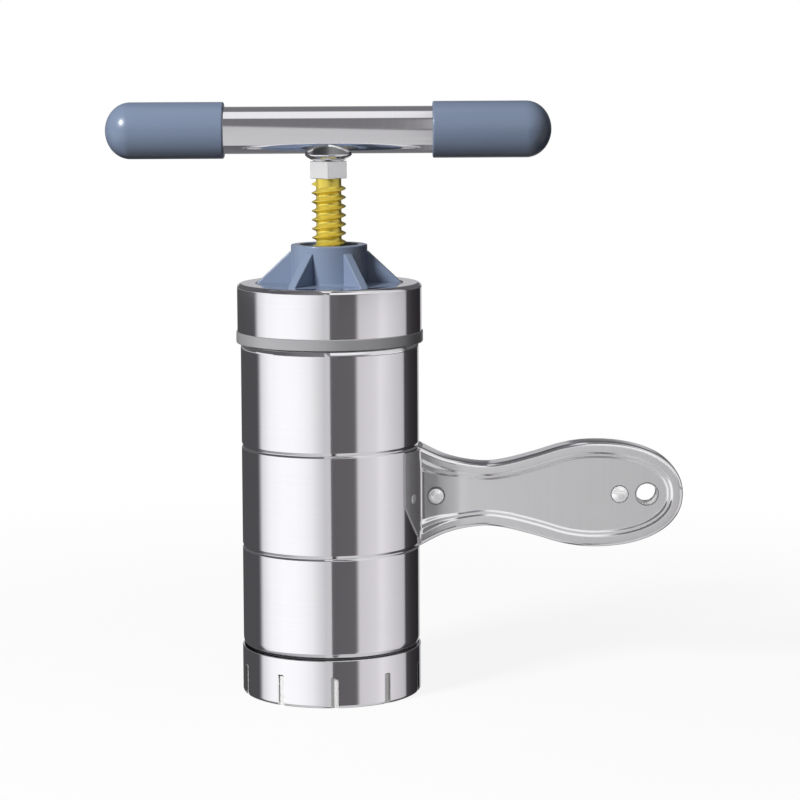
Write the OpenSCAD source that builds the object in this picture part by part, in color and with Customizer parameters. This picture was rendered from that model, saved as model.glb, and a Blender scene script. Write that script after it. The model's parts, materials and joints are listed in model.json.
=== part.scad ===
// Hand press for fresh pasta: a steel barrel with a slotted collar and a noodle die
// below, a screw-on lid above, and a T-handled spindle that drives a press plate down.
// The origin is on the barrel's axis, in the plane on which the collar stands.
// +Z is up and +X points along the side handle.

/* [Barrel] */
// Outer radius of the barrel
barrel_r = 30; // [29:0.5:34]
// Length of the barrel tube from rim to rim
barrel_h = 123.1; // [118:0.1:140]
// Sheet thickness of the barrel
barrel_wall = 0.6; // [0.5:0.05:0.7]
// How far the two threaded necks are drawn in from the barrel
neck_step = 1.15; // [1.1:0.05:1.3]
// Height over which a neck swells to the full barrel
shoulder_h = 2.7; // [2:0.1:3]
// Length of the lower neck, below its shoulder
low_neck_h = 5.6; // [5.4:0.1:6.5]
// Length of the upper neck, above its shoulder
top_neck_h = 14.3; // [14:0.1:15]
// Height of the lower rolled groove above the collar's foot
low_groove_z = 50; // [44:1:52]
// Height of the upper rolled groove above the collar's foot
top_groove_z = 84.2; // [84:0.2:92]
// Height of a rolled groove
groove_h = 2; // [1.6:0.1:2.4]
// Depth of a rolled groove
groove_depth = 0.5; // [0.3:0.05:0.55]

/* [Rim threads] */
// Rise of the lid's and the collar's threads in one turn
rim_pitch = 3; // [2.8:0.1:3.2]
// Height of a rim thread above its neck
rim_thread_h = 0.65; // [0.6:0.05:0.7]
// Clearance between a rim thread and the wall or neck that faces it
rim_gap = 0.2; // [0.18:0.01:0.22]
// Width of a rim thread at its foot
rim_foot_w = 1.2; // [1:0.1:1.25]
// Width of a rim thread at its crest
rim_crest_w = 0.7; // [0.5:0.1:0.8]

/* [Collar and die] */
// Height of the collar
collar_h = 16.1; // [15.9:0.1:16.2]
// Sheet thickness of the collar
collar_wall = 0.6; // [0.5:0.1:0.9]
// Thickness of the collar's inward lip
lip_t = 0.9; // [0.7:0.1:1.2]
// Width of the inward lip that carries the die
lip_w = 2.9; // [2.4:0.1:3.4]
// Number of grip slots round the collar
slot_count = 10; // [6:1:14]
// Width of a grip slot
slot_w = 2.4; // [1.6:0.1:3]
// Height of a grip slot
slot_h = 10.5; // [8:0.1:10.5]
// Turn of the first slot from the front
slot_turn = 3; // [0:1:5]
// Height of the die's rim above the collar's foot
die_h = 10.6; // [10.2:0.1:10.6]
// Thickness of the die's perforated floor
die_floor_t = 4; // [3:0.1:4.5]
// Radius of a noodle hole
noodle_r = 1.5; // [0.8:0.1:2]
// Spacing of the rings of noodle holes
noodle_pitch = 6.4; // [5.6:0.1:6.8]
// Number of rings of noodle holes
noodle_rings = 3; // [1:1:3]

/* [Lid] */
// Height of the lid's skirt below its plate
skirt_h = 16; // [16:0.1:17]
// Wall of the moulded skirt
skirt_wall = 0.77; // [0.7:0.01:1.2]
// Sheet thickness of the steel sleeve over the lid
sleeve_wall = 0.55; // [0.4:0.05:0.8]
// Radius of the sleeve's rounded top edge
sleeve_round = 1.5; // [1:0.1:2]
// Width of the sleeve's flange on top of the lid
flange_w = 6.2; // [4:0.1:6.4]
// Thickness of the lid's plate
plate_t = 3.3; // [3:0.1:4]
// Height of the ring that closes the sleeve's lower edge
rim_ring_h = 3.8; // [3:0.1:3.8]
// How far that ring stands out from the sleeve
rim_ring_out = 0.4; // [0.2:0.1:0.8]
// Radius of the hub
hub_r = 12.85; // [12.4:0.05:14]
// Height of the hub above the plate
hub_h = 13.5; // [13:0.1:15]
// Wall of the hub round its mouth
hub_wall = 3; // [2.6:0.1:3]
// Number of ribs round the hub
rib_count = 6; // [4:1:8]
// Thickness of a rib
rib_t = 3; // [2:0.1:4]
// Distance of a rib's foot from the sleeve's flange
rib_inset = 0.65; // [0.5:0.05:3]
// Drop of a rib's top below the hub's rim
rib_drop = 2.4; // [1:0.1:4]
// Thickness of the seal between the barrel's rim and the lid
gasket_t = 1.1; // [0.9:0.1:1.4]

/* [Spindle] */
// Radius over the spindle's thread
spindle_r = 5.8; // [5.6:0.1:6]
// Depth of the spindle's thread
spindle_depth = 1.5; // [1.3:0.1:1.6]
// Rise of the spindle's thread in one turn
spindle_pitch = 3; // [2.9:0.05:3.2]
// Length of spindle that shows above the lid, as drawn
shown_h = 22; // [20:0.5:24]
// Width of the spindle's thread at its foot
spindle_foot_w = 1.9; // [1.6:0.1:2]
// Width of the spindle's thread at its crest
spindle_crest_w = 0.9; // [0.6:0.1:1]
// Gap between the spindle's thread and the nut's, along and across
nut_gap = 0.3; // [0.25:0.01:0.35]
// Corner radius of the drive nut's hexagon
nut_corner_r = 9.6; // [9:0.1:9.7]
// Height of the drive nut above its flange
nut_h = 10.8; // [9:0.1:11]
// Corner radius of the drive nut's flange
nut_flange_r = 12.6; // [11.5:0.1:14]
// Thickness of the drive nut's flange
nut_flange_t = 2; // [1.5:0.1:2.5]

/* [Press plate] */
// Height of the press plate's face above the collar's foot, as shown
face_z = 27.5; // [27.5:0.1:28]
// Height of the press plate
plate_h = 20; // [19.6:0.1:20]
// Clearance between the press plate and the barrel's necks
plate_gap = 0.65; // [0.6:0.05:1]
// Thickness of the press plate's floor
press_floor_t = 4.6; // [4.2:0.1:6]
// Thickness of the press plate's wall
press_wall = 3.4; // [3:0.1:5]
// Radius of the press plate's middle boss
boss_r = 9.4; // [9:0.1:11]
// Number of ribs inside the press plate
web_count = 6; // [4:1:8]
// Height of the seal's groove above the face
seal_z = 12.4; // [11:0.1:13]
// Height of the seal
seal_h = 3; // [2:0.1:4]
// Depth of the seal's groove
seal_depth = 1.6; // [1:0.1:2]

/* [T-handle] */
// Outer radius of the handle tube
tube_r = 7.9; // [7.6:0.1:8.4]
// Wall of the handle tube
tube_wall = 0.9; // [0.7:0.1:1.2]
// Bare length of tube between the two grips
bare_length = 69.8; // [50:0.1:90]
// Radius of a moulded grip
grip_r = 9.5; // [9.4:0.1:12]
// Length of a moulded grip
grip_length = 39.8; // [34:0.1:50]
// Length of a grip's domed end
dome_length = 8.5; // [7:0.1:9]
// Depth to which the tube is pushed into a grip
grip_depth = 29; // [20:0.5:29]
// Side of the spindle's square neck
neck_side = 8.8; // [8:0.1:9]
// Height of the square neck
neck_h = 6; // [5:0.1:6]

/* [Side handle] */
// Height of the side handle's middle above the collar's foot
handle_z = 67.2; // [66:0.1:68]
// Distance of the side handle's tip from the barrel's axis
handle_reach = 119; // [110:0.5:130]
// Greatest width of the side handle
handle_w = 35.9; // [34:0.1:40]
// Half the thickness of the side handle
handle_half_t = 5; // [4.5:0.1:6]
// Sheet thickness of the side handle's shells
shell_t = 0.8; // [0.6:0.1:1]
// Width of the raised border round the side handle's panel
border_w = 4.6; // [4:0.1:5.5]
// Depth to which the panel is pressed in
panel_depth = 0.6; // [0.4:0.1:0.8]
// Extra half thickness of the side handle where it meets the barrel
flare = 2.2; // [1.5:0.1:2.6]
// Length of the flared root
root_length = 13; // [11:0.5:16]
// Radius of the hanging hole
hang_r = 3.5; // [3:0.1:4]
// Distance of the hanging hole from the tip
hang_inset = 12.2; // [11:0.1:13]
// Head radius of the rivet near the barrel
root_rivet_r = 2.65; // [2.4:0.05:3]
// Distance of that rivet from the barrel's wall
root_rivet_out = 5.6; // [5.5:0.1:7]
// Head radius of the rivet near the tip
tip_rivet_r = 2.9; // [2.4:0.05:3]
// Distance of that rivet from the hanging hole
tip_rivet_in = 9.2; // [8:0.1:11]
// Height of a rivet's head
rivet_head_h = 1.1; // [0.8:0.1:1.4]
// Radius of a rivet's shank
rivet_shank_r = 1.5; // [1.2:0.1:1.7]
// Angle round the barrel from the handle's middle to a flange's edge
flange_end = 32; // [30:1:36]
// Height of a welded flange on the barrel
weld_flange_h = 29; // [26:0.5:30]
// Radius of a spot weld
weld_r = 1.6; // [1.2:0.1:2]

/* [Hidden] */
$fn = 96;

// The overrun of every cut, and the clearances that several pieces share
over = 1;
skin_gap = 0.03;
face_gap = 0.05;
running_gap = 0.05;
seat_gap = 0.2;
stop_gap = 0.3;

// Radii that the necks, the rims and what screws on them share
neck_r = barrel_r - neck_step;
neck_in_r = neck_r - barrel_wall;
male_crest_r = neck_r + rim_thread_h;
female_wall_r = male_crest_r + rim_gap;
female_crest_r = neck_r + rim_gap;
collar_r = female_wall_r + collar_wall;
skirt_r = female_wall_r + skirt_wall;
sleeve_in_r = skirt_r + skin_gap;
sleeve_r = sleeve_in_r + sleeve_wall;
rim_steps = 48;
run_out_steps = 6;
run_out_share = 0.2;
rim_root_share = 0.5;

// Heights, from the collar's foot up
flange_z = lip_t + seat_gap;
barrel_z = die_h + stop_gap;
barrel_top = barrel_z + barrel_h;
gasket_z = barrel_top + face_gap;
plate_z = gasket_z + gasket_t + face_gap;
lid_z = plate_z - skirt_h;
plate_top = plate_z + plate_t;
hub_top = plate_top + hub_h;
skirt_z = lid_z + rim_ring_h + face_gap;

// The rim threads: the female ones run half a turn's rise from the male ones
top_male_turns = 2.5;
top_female_turns = 2.5;
low_male_turns = 1.2;
low_female_turns = 1.4;
top_lead = 3.7;
low_lead = 0.6;
top_female_z = barrel_top - top_neck_h + rim_foot_w / 2 + top_lead;
top_male_z = top_female_z + rim_pitch / 2;
low_male_z = barrel_z + rim_foot_w / 2 + low_lead;
low_female_turn_start = 0.15;
low_female_z = low_male_z - rim_pitch / 2;

// The spindle and the nut
spindle_root_r = spindle_r - spindle_depth;
nut_top = plate_z + nut_h;
boss_drop = 2.5;
boss_h = plate_h - boss_drop;
washer_t = 1.4;
end_play = 0.1;
rod_z = face_z + boss_h + face_gap + washer_t + end_play;
shank_h = 1.4;
shank_top = rod_z + shank_h;
thread_z = shank_top + spindle_foot_w / 2 + stop_gap;
// Angle from +X at which the spindle's thread starts
thread_start = 180;
spindle_turns = floor((hub_top + shown_h - thread_z - spindle_foot_w / 2) / spindle_pitch);
saddle_drop = 2.4;
neck_z = hub_top + shown_h;
tube_z = neck_z + neck_h + saddle_drop + tube_r;
// The stub holds the handle's nut, and the socket takes the foot bolt
stub_r = 3;
stub_top = tube_z;
socket_r = 2.7;
socket_h = 10;
spindle_steps = 16;

// A regular polygon's flats lie this share of its corner radius from the middle
function flat_share(n) = cos(180 / n);

// Points of an arc from angle a to angle b
function arc(x, y, r, a, b, n) =
  [for (i = [0:n]) [x + r * cos(a + (b - a) * i / n), y + r * sin(a + (b - a) * i / n)]];
// Points of a quarter of an ellipse, from angle a to angle b
function oval(x, y, rx, ry, a, b, n) =
  [for (i = [0:n]) [x + rx * cos(a + (b - a) * i / n), y + ry * sin(a + (b - a) * i / n)]];
function reversed(list) = [for (i = [len(list) - 1:-1:0]) list[i]];
function around(r, a, z) = [r * cos(a), r * sin(a), z];

// Two triangles between four points, seen from outside: left low, right low, right high, left high
function quad(a, b, c, d) = [[a, d, c], [a, c, b]];

// One turned rod with a trapezoid thread on it. Each of below and above is a list of
// [radius, height] rings, from the thread outwards, and the last ring of each is closed.
module threaded_rod(root, crest, foot_w, crest_w, pitch, turns, z, below, above) {
  n = spindle_steps;
  last = n * turns;
  profile = [[root, -foot_w / 2], [crest, -crest_w / 2], [crest, crest_w / 2], [root, foot_w / 2]];
  rings = concat(below, above);
  points = concat(
    [for (i = [0:last], p = profile) around(p[0], 360 * i / n, z + p[1] + pitch * i / n)],
    [for (g = rings, j = [0:n - 1]) around(g[0], 360 * j / n, g[1])]);
  t = function (i, k) 4 * i + k;
  r = function (g, j) 4 * (last + 1) + n * g + j % n;
  up = len(below);
  ends = len(rings);
  walls = concat(
    [for (i = [0:last - 1], k = [0:2]) each quad(t(i, k), t(i + 1, k), t(i + 1, k + 1), t(i, k + 1))],
    [for (i = [0:last - n - 1]) each quad(t(i, 3), t(i + 1, 3), t(i + 1 + n, 0), t(i + n, 0))],
    [for (j = [0:n - 2]) each quad(r(0, j), r(0, j + 1), t(j + 1, 0), t(j, 0))],
    [for (j = [1:n - 1])
      each quad(t(last - n + j, 3), t(last - n + j + 1, 3), r(up, j + 1), r(up, j))],
    [for (g = [1:1:up - 1], j = [0:n - 1]) each quad(r(g, j), r(g, j + 1), r(g - 1, j + 1), r(g - 1, j))],
    [for (g = [up + 1:1:ends - 1], j = [0:n - 1])
      each quad(r(g - 1, j), r(g - 1, j + 1), r(g, j + 1), r(g, j))]);
  low_seam = [[t(n - 1, 0), r(0, 0), r(0, n - 1)], [t(n - 1, 0), t(0, 0), r(0, 0)],
    [t(n - 1, 0), t(0, 3), t(0, 0)], [t(n - 1, 0), t(n, 0), t(0, 3)]];
  high_seam = [[r(up, 1), t(last, 3), r(up, 0)], [r(up, 1), t(last, 0), t(last, 3)],
    [r(up, 1), t(last - n, 3), t(last, 0)], [r(up, 1), t(last - n + 1, 3), t(last - n, 3)]];
  starts = concat(quad(t(0, 0), t(0, 1), t(0, 2), t(0, 3)),
    [[t(last, 0), t(last, 1), t(last, 2)], [t(last, 0), t(last, 2), t(last, 3)]]);
  caps = [[for (j = [0:n - 1]) r(up - 1, j)], [for (j = [n - 1:-1:0]) r(ends - 1, j)]];
  polyhedron(points, concat(walls, low_seam, high_seam, starts, caps), convexity = 10);
}

// A rim thread: one rib that winds round a wall, with its ends run out.
module rim_thread(foot_r, crest_r, z, turns, start_turn = 0) {
  steps = round(rim_steps * turns);
  points = [for (i = [0:steps])
    let (a = 360 * (start_turn + i / rim_steps),
      share = min(1, max(run_out_share, min(i, steps - i) / run_out_steps)),
      top = foot_r + (crest_r - foot_r) * share,
      mid = z + rim_pitch * (start_turn + i / rim_steps))
    each [around(foot_r, a, mid - rim_foot_w / 2), around(top, a, mid - rim_crest_w / 2),
      around(top, a, mid + rim_crest_w / 2), around(foot_r, a, mid + rim_foot_w / 2)]];
  sides = [for (i = [0:steps - 1], k = [0:3])
    let (m = (k + 1) % 4) each quad(4 * i + k, 4 * i + 4 + k, 4 * i + 4 + m, 4 * i + m)];
  e = 4 * steps;
  ends = [[0, 3, 2], [0, 2, 1], [e, e + 1, e + 2], [e, e + 2, e + 3]];
  faces = concat(sides, ends);
  polyhedron(points, crest_r > foot_r ? faces : [for (f = faces) reversed(f)], convexity = 6);
}

// The barrel's wall from the bottom rim to the top one, drawn in by the sheet's thickness
function groove_path(z, inset) = [for (i = [-4:4])
  [barrel_r - inset - groove_depth * (1 + cos(45 * i)) / 2, z + groove_h / 2 * i / 4]];
function barrel_path(inset) = concat(
  [[neck_r - inset, barrel_z]],
  oval(neck_r - inset, barrel_z + low_neck_h + shoulder_h, neck_step, shoulder_h, -90, 0, 6),
  groove_path(low_groove_z, inset),
  groove_path(top_groove_z, inset),
  oval(neck_r - inset, barrel_top - top_neck_h - shoulder_h, neck_step, shoulder_h, 0, 90, 6),
  [[neck_r - inset, barrel_top]]);

// The barrel, with a thread pressed out of each neck
module barrel_tube() {
  color("gainsboro") {
    rotate_extrude() polygon(concat(barrel_path(0), reversed(barrel_path(barrel_wall))));
    rim_thread(neck_r - rim_root_share * barrel_wall, male_crest_r, top_male_z, top_male_turns);
    rim_thread(neck_r - rim_root_share * barrel_wall, male_crest_r, low_male_z, low_male_turns);
  }
}

// The side handle's outline. Each row gives a station's place as a share of the length
// from the barrel to the tip, and the half width there as a share of the greatest one.
handle_shares = [[-0.1, 1.1], [-0.05, 1.03], [0, 0.945], [0.1, 0.72], [0.22, 0.6], [0.31, 0.62],
  [0.43, 0.765], [0.53, 0.915], [0.6, 0.98], [0.665, 1], [0.73, 0.985]];
// The round end is a little squarer than half an ellipse
end_share = 0.665;
end_power = 0.91;
end_steps = 14;
stretch_steps = 4;
handle_run = handle_reach - barrel_r;
stations = [for (s = handle_shares) [barrel_r + handle_run * s[0], handle_w / 2 * s[1]]];

// A smooth curve from b to c, with a and d as its neighbours
function bend(a, b, c, d, t) = 0.5 * (2 * b + (c - a) * t + (2 * a - 5 * b + 4 * c - d) * t * t
  + (3 * b - a - 3 * c + d) * t * t * t);
edge_curve = [for (i = [1:len(stations) - 3], s = [0:stretch_steps - 1])
  bend(stations[i - 1], stations[i], stations[i + 1], stations[i + 2], s / stretch_steps)];
end_x = barrel_r + handle_run * end_share;
end_curve = [for (i = [0:end_steps])
  let (a = 90 * i / end_steps)
  [end_x + (handle_reach - end_x) * pow(sin(a), end_power), handle_w / 2 * pow(cos(a), end_power)]];
upper_edge = concat(edge_curve, end_curve);
tip = len(upper_edge) - 1;
function edge_way(i) = i == tip ? [0, -1]
  : i == 0 ? upper_edge[1] - upper_edge[0] : upper_edge[i + 1] - upper_edge[i - 1];
// The outline drawn in by w, each point along its own normal
function handle_edge(w) = let (upper = [for (i = [0:tip])
    let (way = edge_way(i)) upper_edge[i] + [way[1], -way[0]] * w / norm(way)])
  concat(upper, [for (i = [tip - 1:-1:0]) [upper[i][0], -upper[i][1]]]);
root_slope = flare / root_length;
rivet_seat_out = 0.3;
rivet_seat_rim = 0.5;
root_rivet_x = barrel_r + root_rivet_out;
root_rivet_half = handle_half_t + flare - root_slope * root_rivet_out + rivet_seat_out;
tip_rivet_x = handle_reach - hang_inset - tip_rivet_in;
tip_rivet_half = handle_half_t - panel_depth + face_gap;
weld_angle = 24.6;
weld_out = 0.25;
flange_start = 11;
// The welded flange seen from the front: corners as shares of its width and its height
flange_shares = [[-0.2, 0.555], [0, 0.555], [1, 0.57], [1.4, 0.57], [1.4, -0.57], [1, -0.57],
  [0, -0.055], [-0.2, -0.055]];

// A block with the handle's outline drawn in by w, from near to far in front of its middle
module outline_block(w, near, far) {
  translate([0, 0, handle_z]) rotate([90, 0, 0]) translate([0, 0, near])
    linear_extrude(far - near) polygon(handle_edge(w));
}

// A block with the handle's plan drawn in by w: flat to the root, then flared to the barrel
module plan_block(w) {
  half = handle_half_t - w;
  start = barrel_r - 2 * flare;
  translate([0, 0, handle_z - handle_w])
    linear_extrude(2 * handle_w)
      polygon([[start, -face_gap], [handle_reach + over, -face_gap], [handle_reach + over, -half],
        [barrel_r + root_length, -half], [start, -half - root_slope * (barrel_r + root_length - start)]]);
}

// A cylinder along Y at x, from near to far in front of the handle's middle
module across(x, near, far, r) {
  translate([x, 0, handle_z]) rotate([90, 0, 0]) translate([0, 0, near]) cylinder(h = far - near, r = r);
}

// The stamped half of the handle: raised border, pressed-in panel, and a rim that meets its twin
module shell_sheet() {
  deep = 2 * (handle_half_t + flare);
  difference() {
    intersection() {
      outline_block(0, 0, deep);
      plan_block(0);
    }
    difference() {
      outline_block(border_w, 0, deep);
      plan_block(panel_depth);
    }
    difference() {
      intersection() {
        outline_block(shell_t, -over, deep);
        union() {
          plan_block(shell_t);
          outline_block(shell_t, -over, over);
        }
      }
      difference() {
        outline_block(border_w - shell_t, 0, deep);
        plan_block(shell_t + panel_depth);
      }
    }
  }
}

// The tongue of sheet that lies on the barrel
module weld_flange() {
  far_x = barrel_r * cos(flange_end);
  width = barrel_r - far_x;
  intersection() {
    translate([0, 0, handle_z - handle_w / 2])
      rotate([0, 0, -flange_end])
        rotate_extrude(angle = flange_end - flange_start)
          translate([barrel_r - shell_t, 0]) square([2 * shell_t + skin_gap, handle_w]);
    translate([0, 0, handle_z]) rotate([90, 0, 0])
      linear_extrude(barrel_r)
        polygon([for (s = flange_shares) [far_x + width * s[0], weld_flange_h * s[1]]]);
  }
}

// A cylinder that leaves the barrel at angle a
module radial(a, near, far, r) {
  rotate([0, 0, a]) translate([near, 0, handle_z]) rotate([0, 90, 0]) cylinder(h = far - near, r = r);
}

// One half of the handle with its flange, rivet seat and holes
module handle_shell() {
  difference() {
    union() {
      shell_sheet();
      weld_flange();
      across(root_rivet_x, root_rivet_half - shell_t - rivet_seat_out, root_rivet_half,
        root_rivet_r + rivet_seat_rim);
    }
    cylinder(h = handle_z + handle_w, r = barrel_r + skin_gap);
    across(root_rivet_x, root_rivet_half, root_rivet_half + over, root_rivet_r + rivet_seat_rim);
    across(root_rivet_x, 0, root_rivet_half + over, rivet_shank_r + running_gap);
    across(tip_rivet_x, 0, handle_half_t + over, rivet_shank_r + running_gap);
    across(handle_reach - hang_inset, 0, handle_half_t + over, hang_r);
    radial(-weld_angle, barrel_r - over, barrel_r + shell_t + over, weld_r + running_gap);
  }
}

module handle_front_shell() {
  color("silver") handle_shell();
}

module handle_back_shell() {
  color("silver") mirror([0, 1, 0]) handle_shell();
}

// A rivet along Y whose heads sit half_t in front of and behind the handle's middle
module rivet(x, half, head_r) {
  seat = half + face_gap;
  upper = concat([[rivet_shank_r, 0], [rivet_shank_r, seat]],
    oval(0, seat, head_r, rivet_head_h, 0, 90, 6));
  translate([x, 0, handle_z]) rotate([90, 0, 0])
    rotate_extrude() polygon(concat(upper, [for (p = reversed(upper)) if (p[1] > 0) [p[0], -p[1]]]));
}

module root_rivet() {
  color("lightgray") rivet(root_rivet_x, root_rivet_half, root_rivet_r);
}

module tip_rivet() {
  color("lightgray") rivet(tip_rivet_x, tip_rivet_half, tip_rivet_r);
}

// The welds that hold the flanges
module spot_welds() {
  color("gray")
    for (side = [-1, 1])
      radial(side * weld_angle, barrel_r + skin_gap / 2, barrel_r + skin_gap + shell_t + weld_out, weld_r);
}

gasket_in_r = neck_in_r - stop_gap;
gasket_out_r = neck_r + rim_gap;

// The seal that the lid presses on the barrel's rim
module lid_gasket() {
  color("ivory")
    translate([0, 0, gasket_z])
      difference() {
        cylinder(h = gasket_t, r = gasket_out_r);
        translate([0, 0, -over]) cylinder(h = gasket_t + 2 * over, r = gasket_in_r);
      }
}

flange_in_r = sleeve_r - flange_w;
rib_foot_r = flange_in_r - rib_inset;
sleeve_top = plate_top + face_gap + sleeve_wall;
cap_edge = sleeve_round - sleeve_wall;
nut_fit = 0.1;
ring_lip_t = 0.9;

// The moulded lid: skirt, plate, hub and ribs, with a hexagon for the drive nut
module lid_cap() {
  base_r = flange_in_r - seat_gap;
  color("lightsteelblue") {
    difference() {
      rotate_extrude()
        polygon([[0, plate_z], [female_wall_r, plate_z], [female_wall_r, skirt_z], [skirt_r, skirt_z],
          [skirt_r, plate_top - cap_edge], [skirt_r - cap_edge, plate_top], [base_r, plate_top],
          [base_r, sleeve_top], [hub_r, sleeve_top], [hub_r, hub_top], [0, hub_top]]);
      translate([0, 0, plate_z - over])
        cylinder(h = nut_h + over, r = nut_corner_r + nut_fit, $fn = 6);
      translate([0, 0, nut_top]) cylinder(h = hub_top, r = hub_r - hub_wall);
    }
    for (k = [0:rib_count - 1])
      rotate([0, 0, 360 * (k + 0.5) / rib_count - 90])
        translate([0, rib_t / 2, 0]) rotate([90, 0, 0])
          linear_extrude(rib_t)
            polygon([[hub_r - hub_wall / 2, plate_top], [rib_foot_r, plate_top],
              [rib_foot_r, sleeve_top + face_gap], [hub_r, hub_top - rib_drop],
              [hub_r - hub_wall / 2, hub_top - rib_drop]]);
    rim_thread(female_wall_r + rim_root_share * skirt_wall, female_crest_r, top_female_z,
      top_female_turns);
  }
}

// The drawn steel skin over the lid's skirt, with a flange on top
module lid_sleeve() {
  foot = lid_z + ring_lip_t + face_gap;
  inner = sleeve_round - sleeve_wall;
  color("gainsboro")
    rotate_extrude()
      polygon(concat([[sleeve_in_r, foot], [sleeve_r, foot]],
        arc(sleeve_r - sleeve_round, sleeve_top - sleeve_round, sleeve_round, 0, 90, 6),
        [[flange_in_r, sleeve_top], [flange_in_r, sleeve_top - sleeve_wall]],
        arc(sleeve_r - sleeve_round, sleeve_top - sleeve_round, inner, 90, 0, 4)));
}

// The rolled ring that closes the skin's lower edge
module lid_rim_ring() {
  ring_edge = 0.3;
  ring_r = sleeve_r + rim_ring_out;
  color("darkgray")
    rotate_extrude()
      polygon([[barrel_r + stop_gap, lid_z], [ring_r - ring_edge, lid_z], [ring_r, lid_z + ring_edge],
        [ring_r, lid_z + rim_ring_h - ring_edge], [ring_r - ring_edge, lid_z + rim_ring_h],
        [sleeve_r + skin_gap, lid_z + rim_ring_h], [sleeve_r + skin_gap, lid_z + ring_lip_t],
        [barrel_r + stop_gap, lid_z + ring_lip_t]]);
}

// The hexagon nut that the spindle runs in, with a flange that bears on the lid from below
module drive_nut() {
  tap_z = thread_z + spindle_pitch * (floor((plate_z - nut_flange_t - thread_z) / spindle_pitch) - 1);
  tap_turns = ceil((nut_top - tap_z) / spindle_pitch) + 1;
  tap_root = spindle_root_r + nut_gap;
  tap_end = tap_z + spindle_pitch * tap_turns + spindle_pitch;
  color("darkgray")
    difference() {
      union() {
        translate([0, 0, plate_z - nut_flange_t])
          cylinder(h = nut_flange_t - face_gap, r = nut_flange_r, $fn = 6);
        translate([0, 0, plate_z - nut_flange_t])
          cylinder(h = nut_h + nut_flange_t, r = nut_corner_r, $fn = 6);
      }
      rotate([0, 0, thread_start])
        threaded_rod(tap_root, spindle_r + nut_gap, spindle_foot_w + 2 * nut_gap,
          spindle_crest_w + 2 * nut_gap, spindle_pitch, tap_turns, tap_z,
          [[tap_root, tap_z - spindle_pitch]], [[tap_root, tap_end]]);
    }
}

plate_r = neck_in_r - plate_gap;
shoulder_r = 4.95;
head_r = 8;
head_t = 3.2;
head_inset = 0.4;
head_z = face_z + head_inset;
head_top = head_z + head_t;
web_t = 2;
web_drop = 5;
seal_out = 0.35;

// The press plate: a cup with a middle boss, a groove for its seal and a recess for the bolt's head
module press_plate() {
  recess_r = head_r + stop_gap;
  recess_top = head_top + running_gap;
  bore_r = shoulder_r + running_gap;
  groove_r = plate_r - seal_depth;
  edge = 0.35;
  color("whitesmoke") {
    rotate_extrude()
      polygon([[recess_r, face_z], [plate_r - edge, face_z], [plate_r, face_z + edge],
        [plate_r, face_z + seal_z], [groove_r, face_z + seal_z], [groove_r, face_z + seal_z + seal_h],
        [plate_r, face_z + seal_z + seal_h], [plate_r, face_z + plate_h],
        [plate_r - press_wall, face_z + plate_h], [plate_r - press_wall, face_z + press_floor_t],
        [boss_r, face_z + press_floor_t], [boss_r, face_z + boss_h], [bore_r, face_z + boss_h],
        [bore_r, recess_top], [recess_r, recess_top]]);
    for (k = [0:web_count - 1])
      rotate([0, 0, 360 * k / web_count])
        translate([boss_r - web_t / 2, -web_t / 2, face_z + press_floor_t - web_t / 2])
          cube([plate_r - press_wall - boss_r + web_t, web_t, plate_h - press_floor_t - web_drop]);
  }
}

// The press plate's seal, shown as small as the barrel's necks let it pass
module seal_ring() {
  in_r = plate_r - seal_depth + running_gap;
  out_r = plate_r + seal_out;
  low = face_z + seal_z + running_gap;
  high = face_z + seal_z + seal_h - running_gap;
  color("dimgray")
    rotate_extrude()
      polygon([[in_r, low], [plate_r, low], [out_r, low + seal_out], [out_r, high - seal_out],
        [plate_r, high], [in_r, high]]);
}

// The washer between the press plate's boss and the spindle's foot
module thrust_washer() {
  washer_inset = 0.35;
  color("goldenrod")
    translate([0, 0, face_z + boss_h + face_gap])
      difference() {
        cylinder(h = washer_t, r = boss_r - washer_inset);
        translate([0, 0, -over]) cylinder(h = washer_t + 2 * over, r = shoulder_r + seat_gap);
      }
}

// The spindle, with a socket for the foot bolt below and a stub for the handle above
module screw_rod() {
  color("gold")
    rotate([0, 0, thread_start])
      threaded_rod(spindle_root_r, spindle_r, spindle_foot_w, spindle_crest_w, spindle_pitch,
        spindle_turns, thread_z,
        [[spindle_root_r, shank_top], [spindle_r, shank_top], [spindle_r, rod_z], [socket_r, rod_z],
          [socket_r, rod_z + socket_h]],
        [[spindle_root_r, neck_z], [stub_r, neck_z], [stub_r, stub_top]]);
}

// The bolt that holds the press plate and turns in its boss
module foot_bolt() {
  bolt_gap = 0.15;
  shank_r = socket_r * flat_share(spindle_steps) - bolt_gap;
  head_edge = 0.6;
  key_r = 3.6;
  key_depth = 2;
  color("silver")
    difference() {
      rotate_extrude()
        polygon([[0, head_z], [head_r - head_edge, head_z], [head_r, head_z + head_edge],
          [head_r, head_top], [shoulder_r, head_top], [shoulder_r, rod_z - face_gap],
          [shank_r, rod_z - face_gap], [shank_r, rod_z + socket_h - over], [0, rod_z + socket_h - over]]);
      translate([0, 0, head_z - over]) cylinder(h = key_depth + over, r = key_r, $fn = 6);
    }
}

// The square neck between the spindle and the handle, set with a corner to the front
module neck_block() {
  color("gainsboro")
    translate([0, 0, neck_z + face_gap])
      rotate([0, 0, 45])
        difference() {
          translate([-neck_side / 2, -neck_side / 2, 0])
            cube([neck_side, neck_side, neck_h - 2 * face_gap]);
          translate([0, 0, -over]) cylinder(h = neck_h + 2 * over, r = stub_r + running_gap);
        }
}

// The saddle washer's half height, its width over its length, and the lift of its widest part
// above the tube's underside, as shares of the tube's radius or of its own length
saddle_half_share = 0.4;
saddle_width_share = 0.88;
saddle_lift_share = 0.09;

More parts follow.
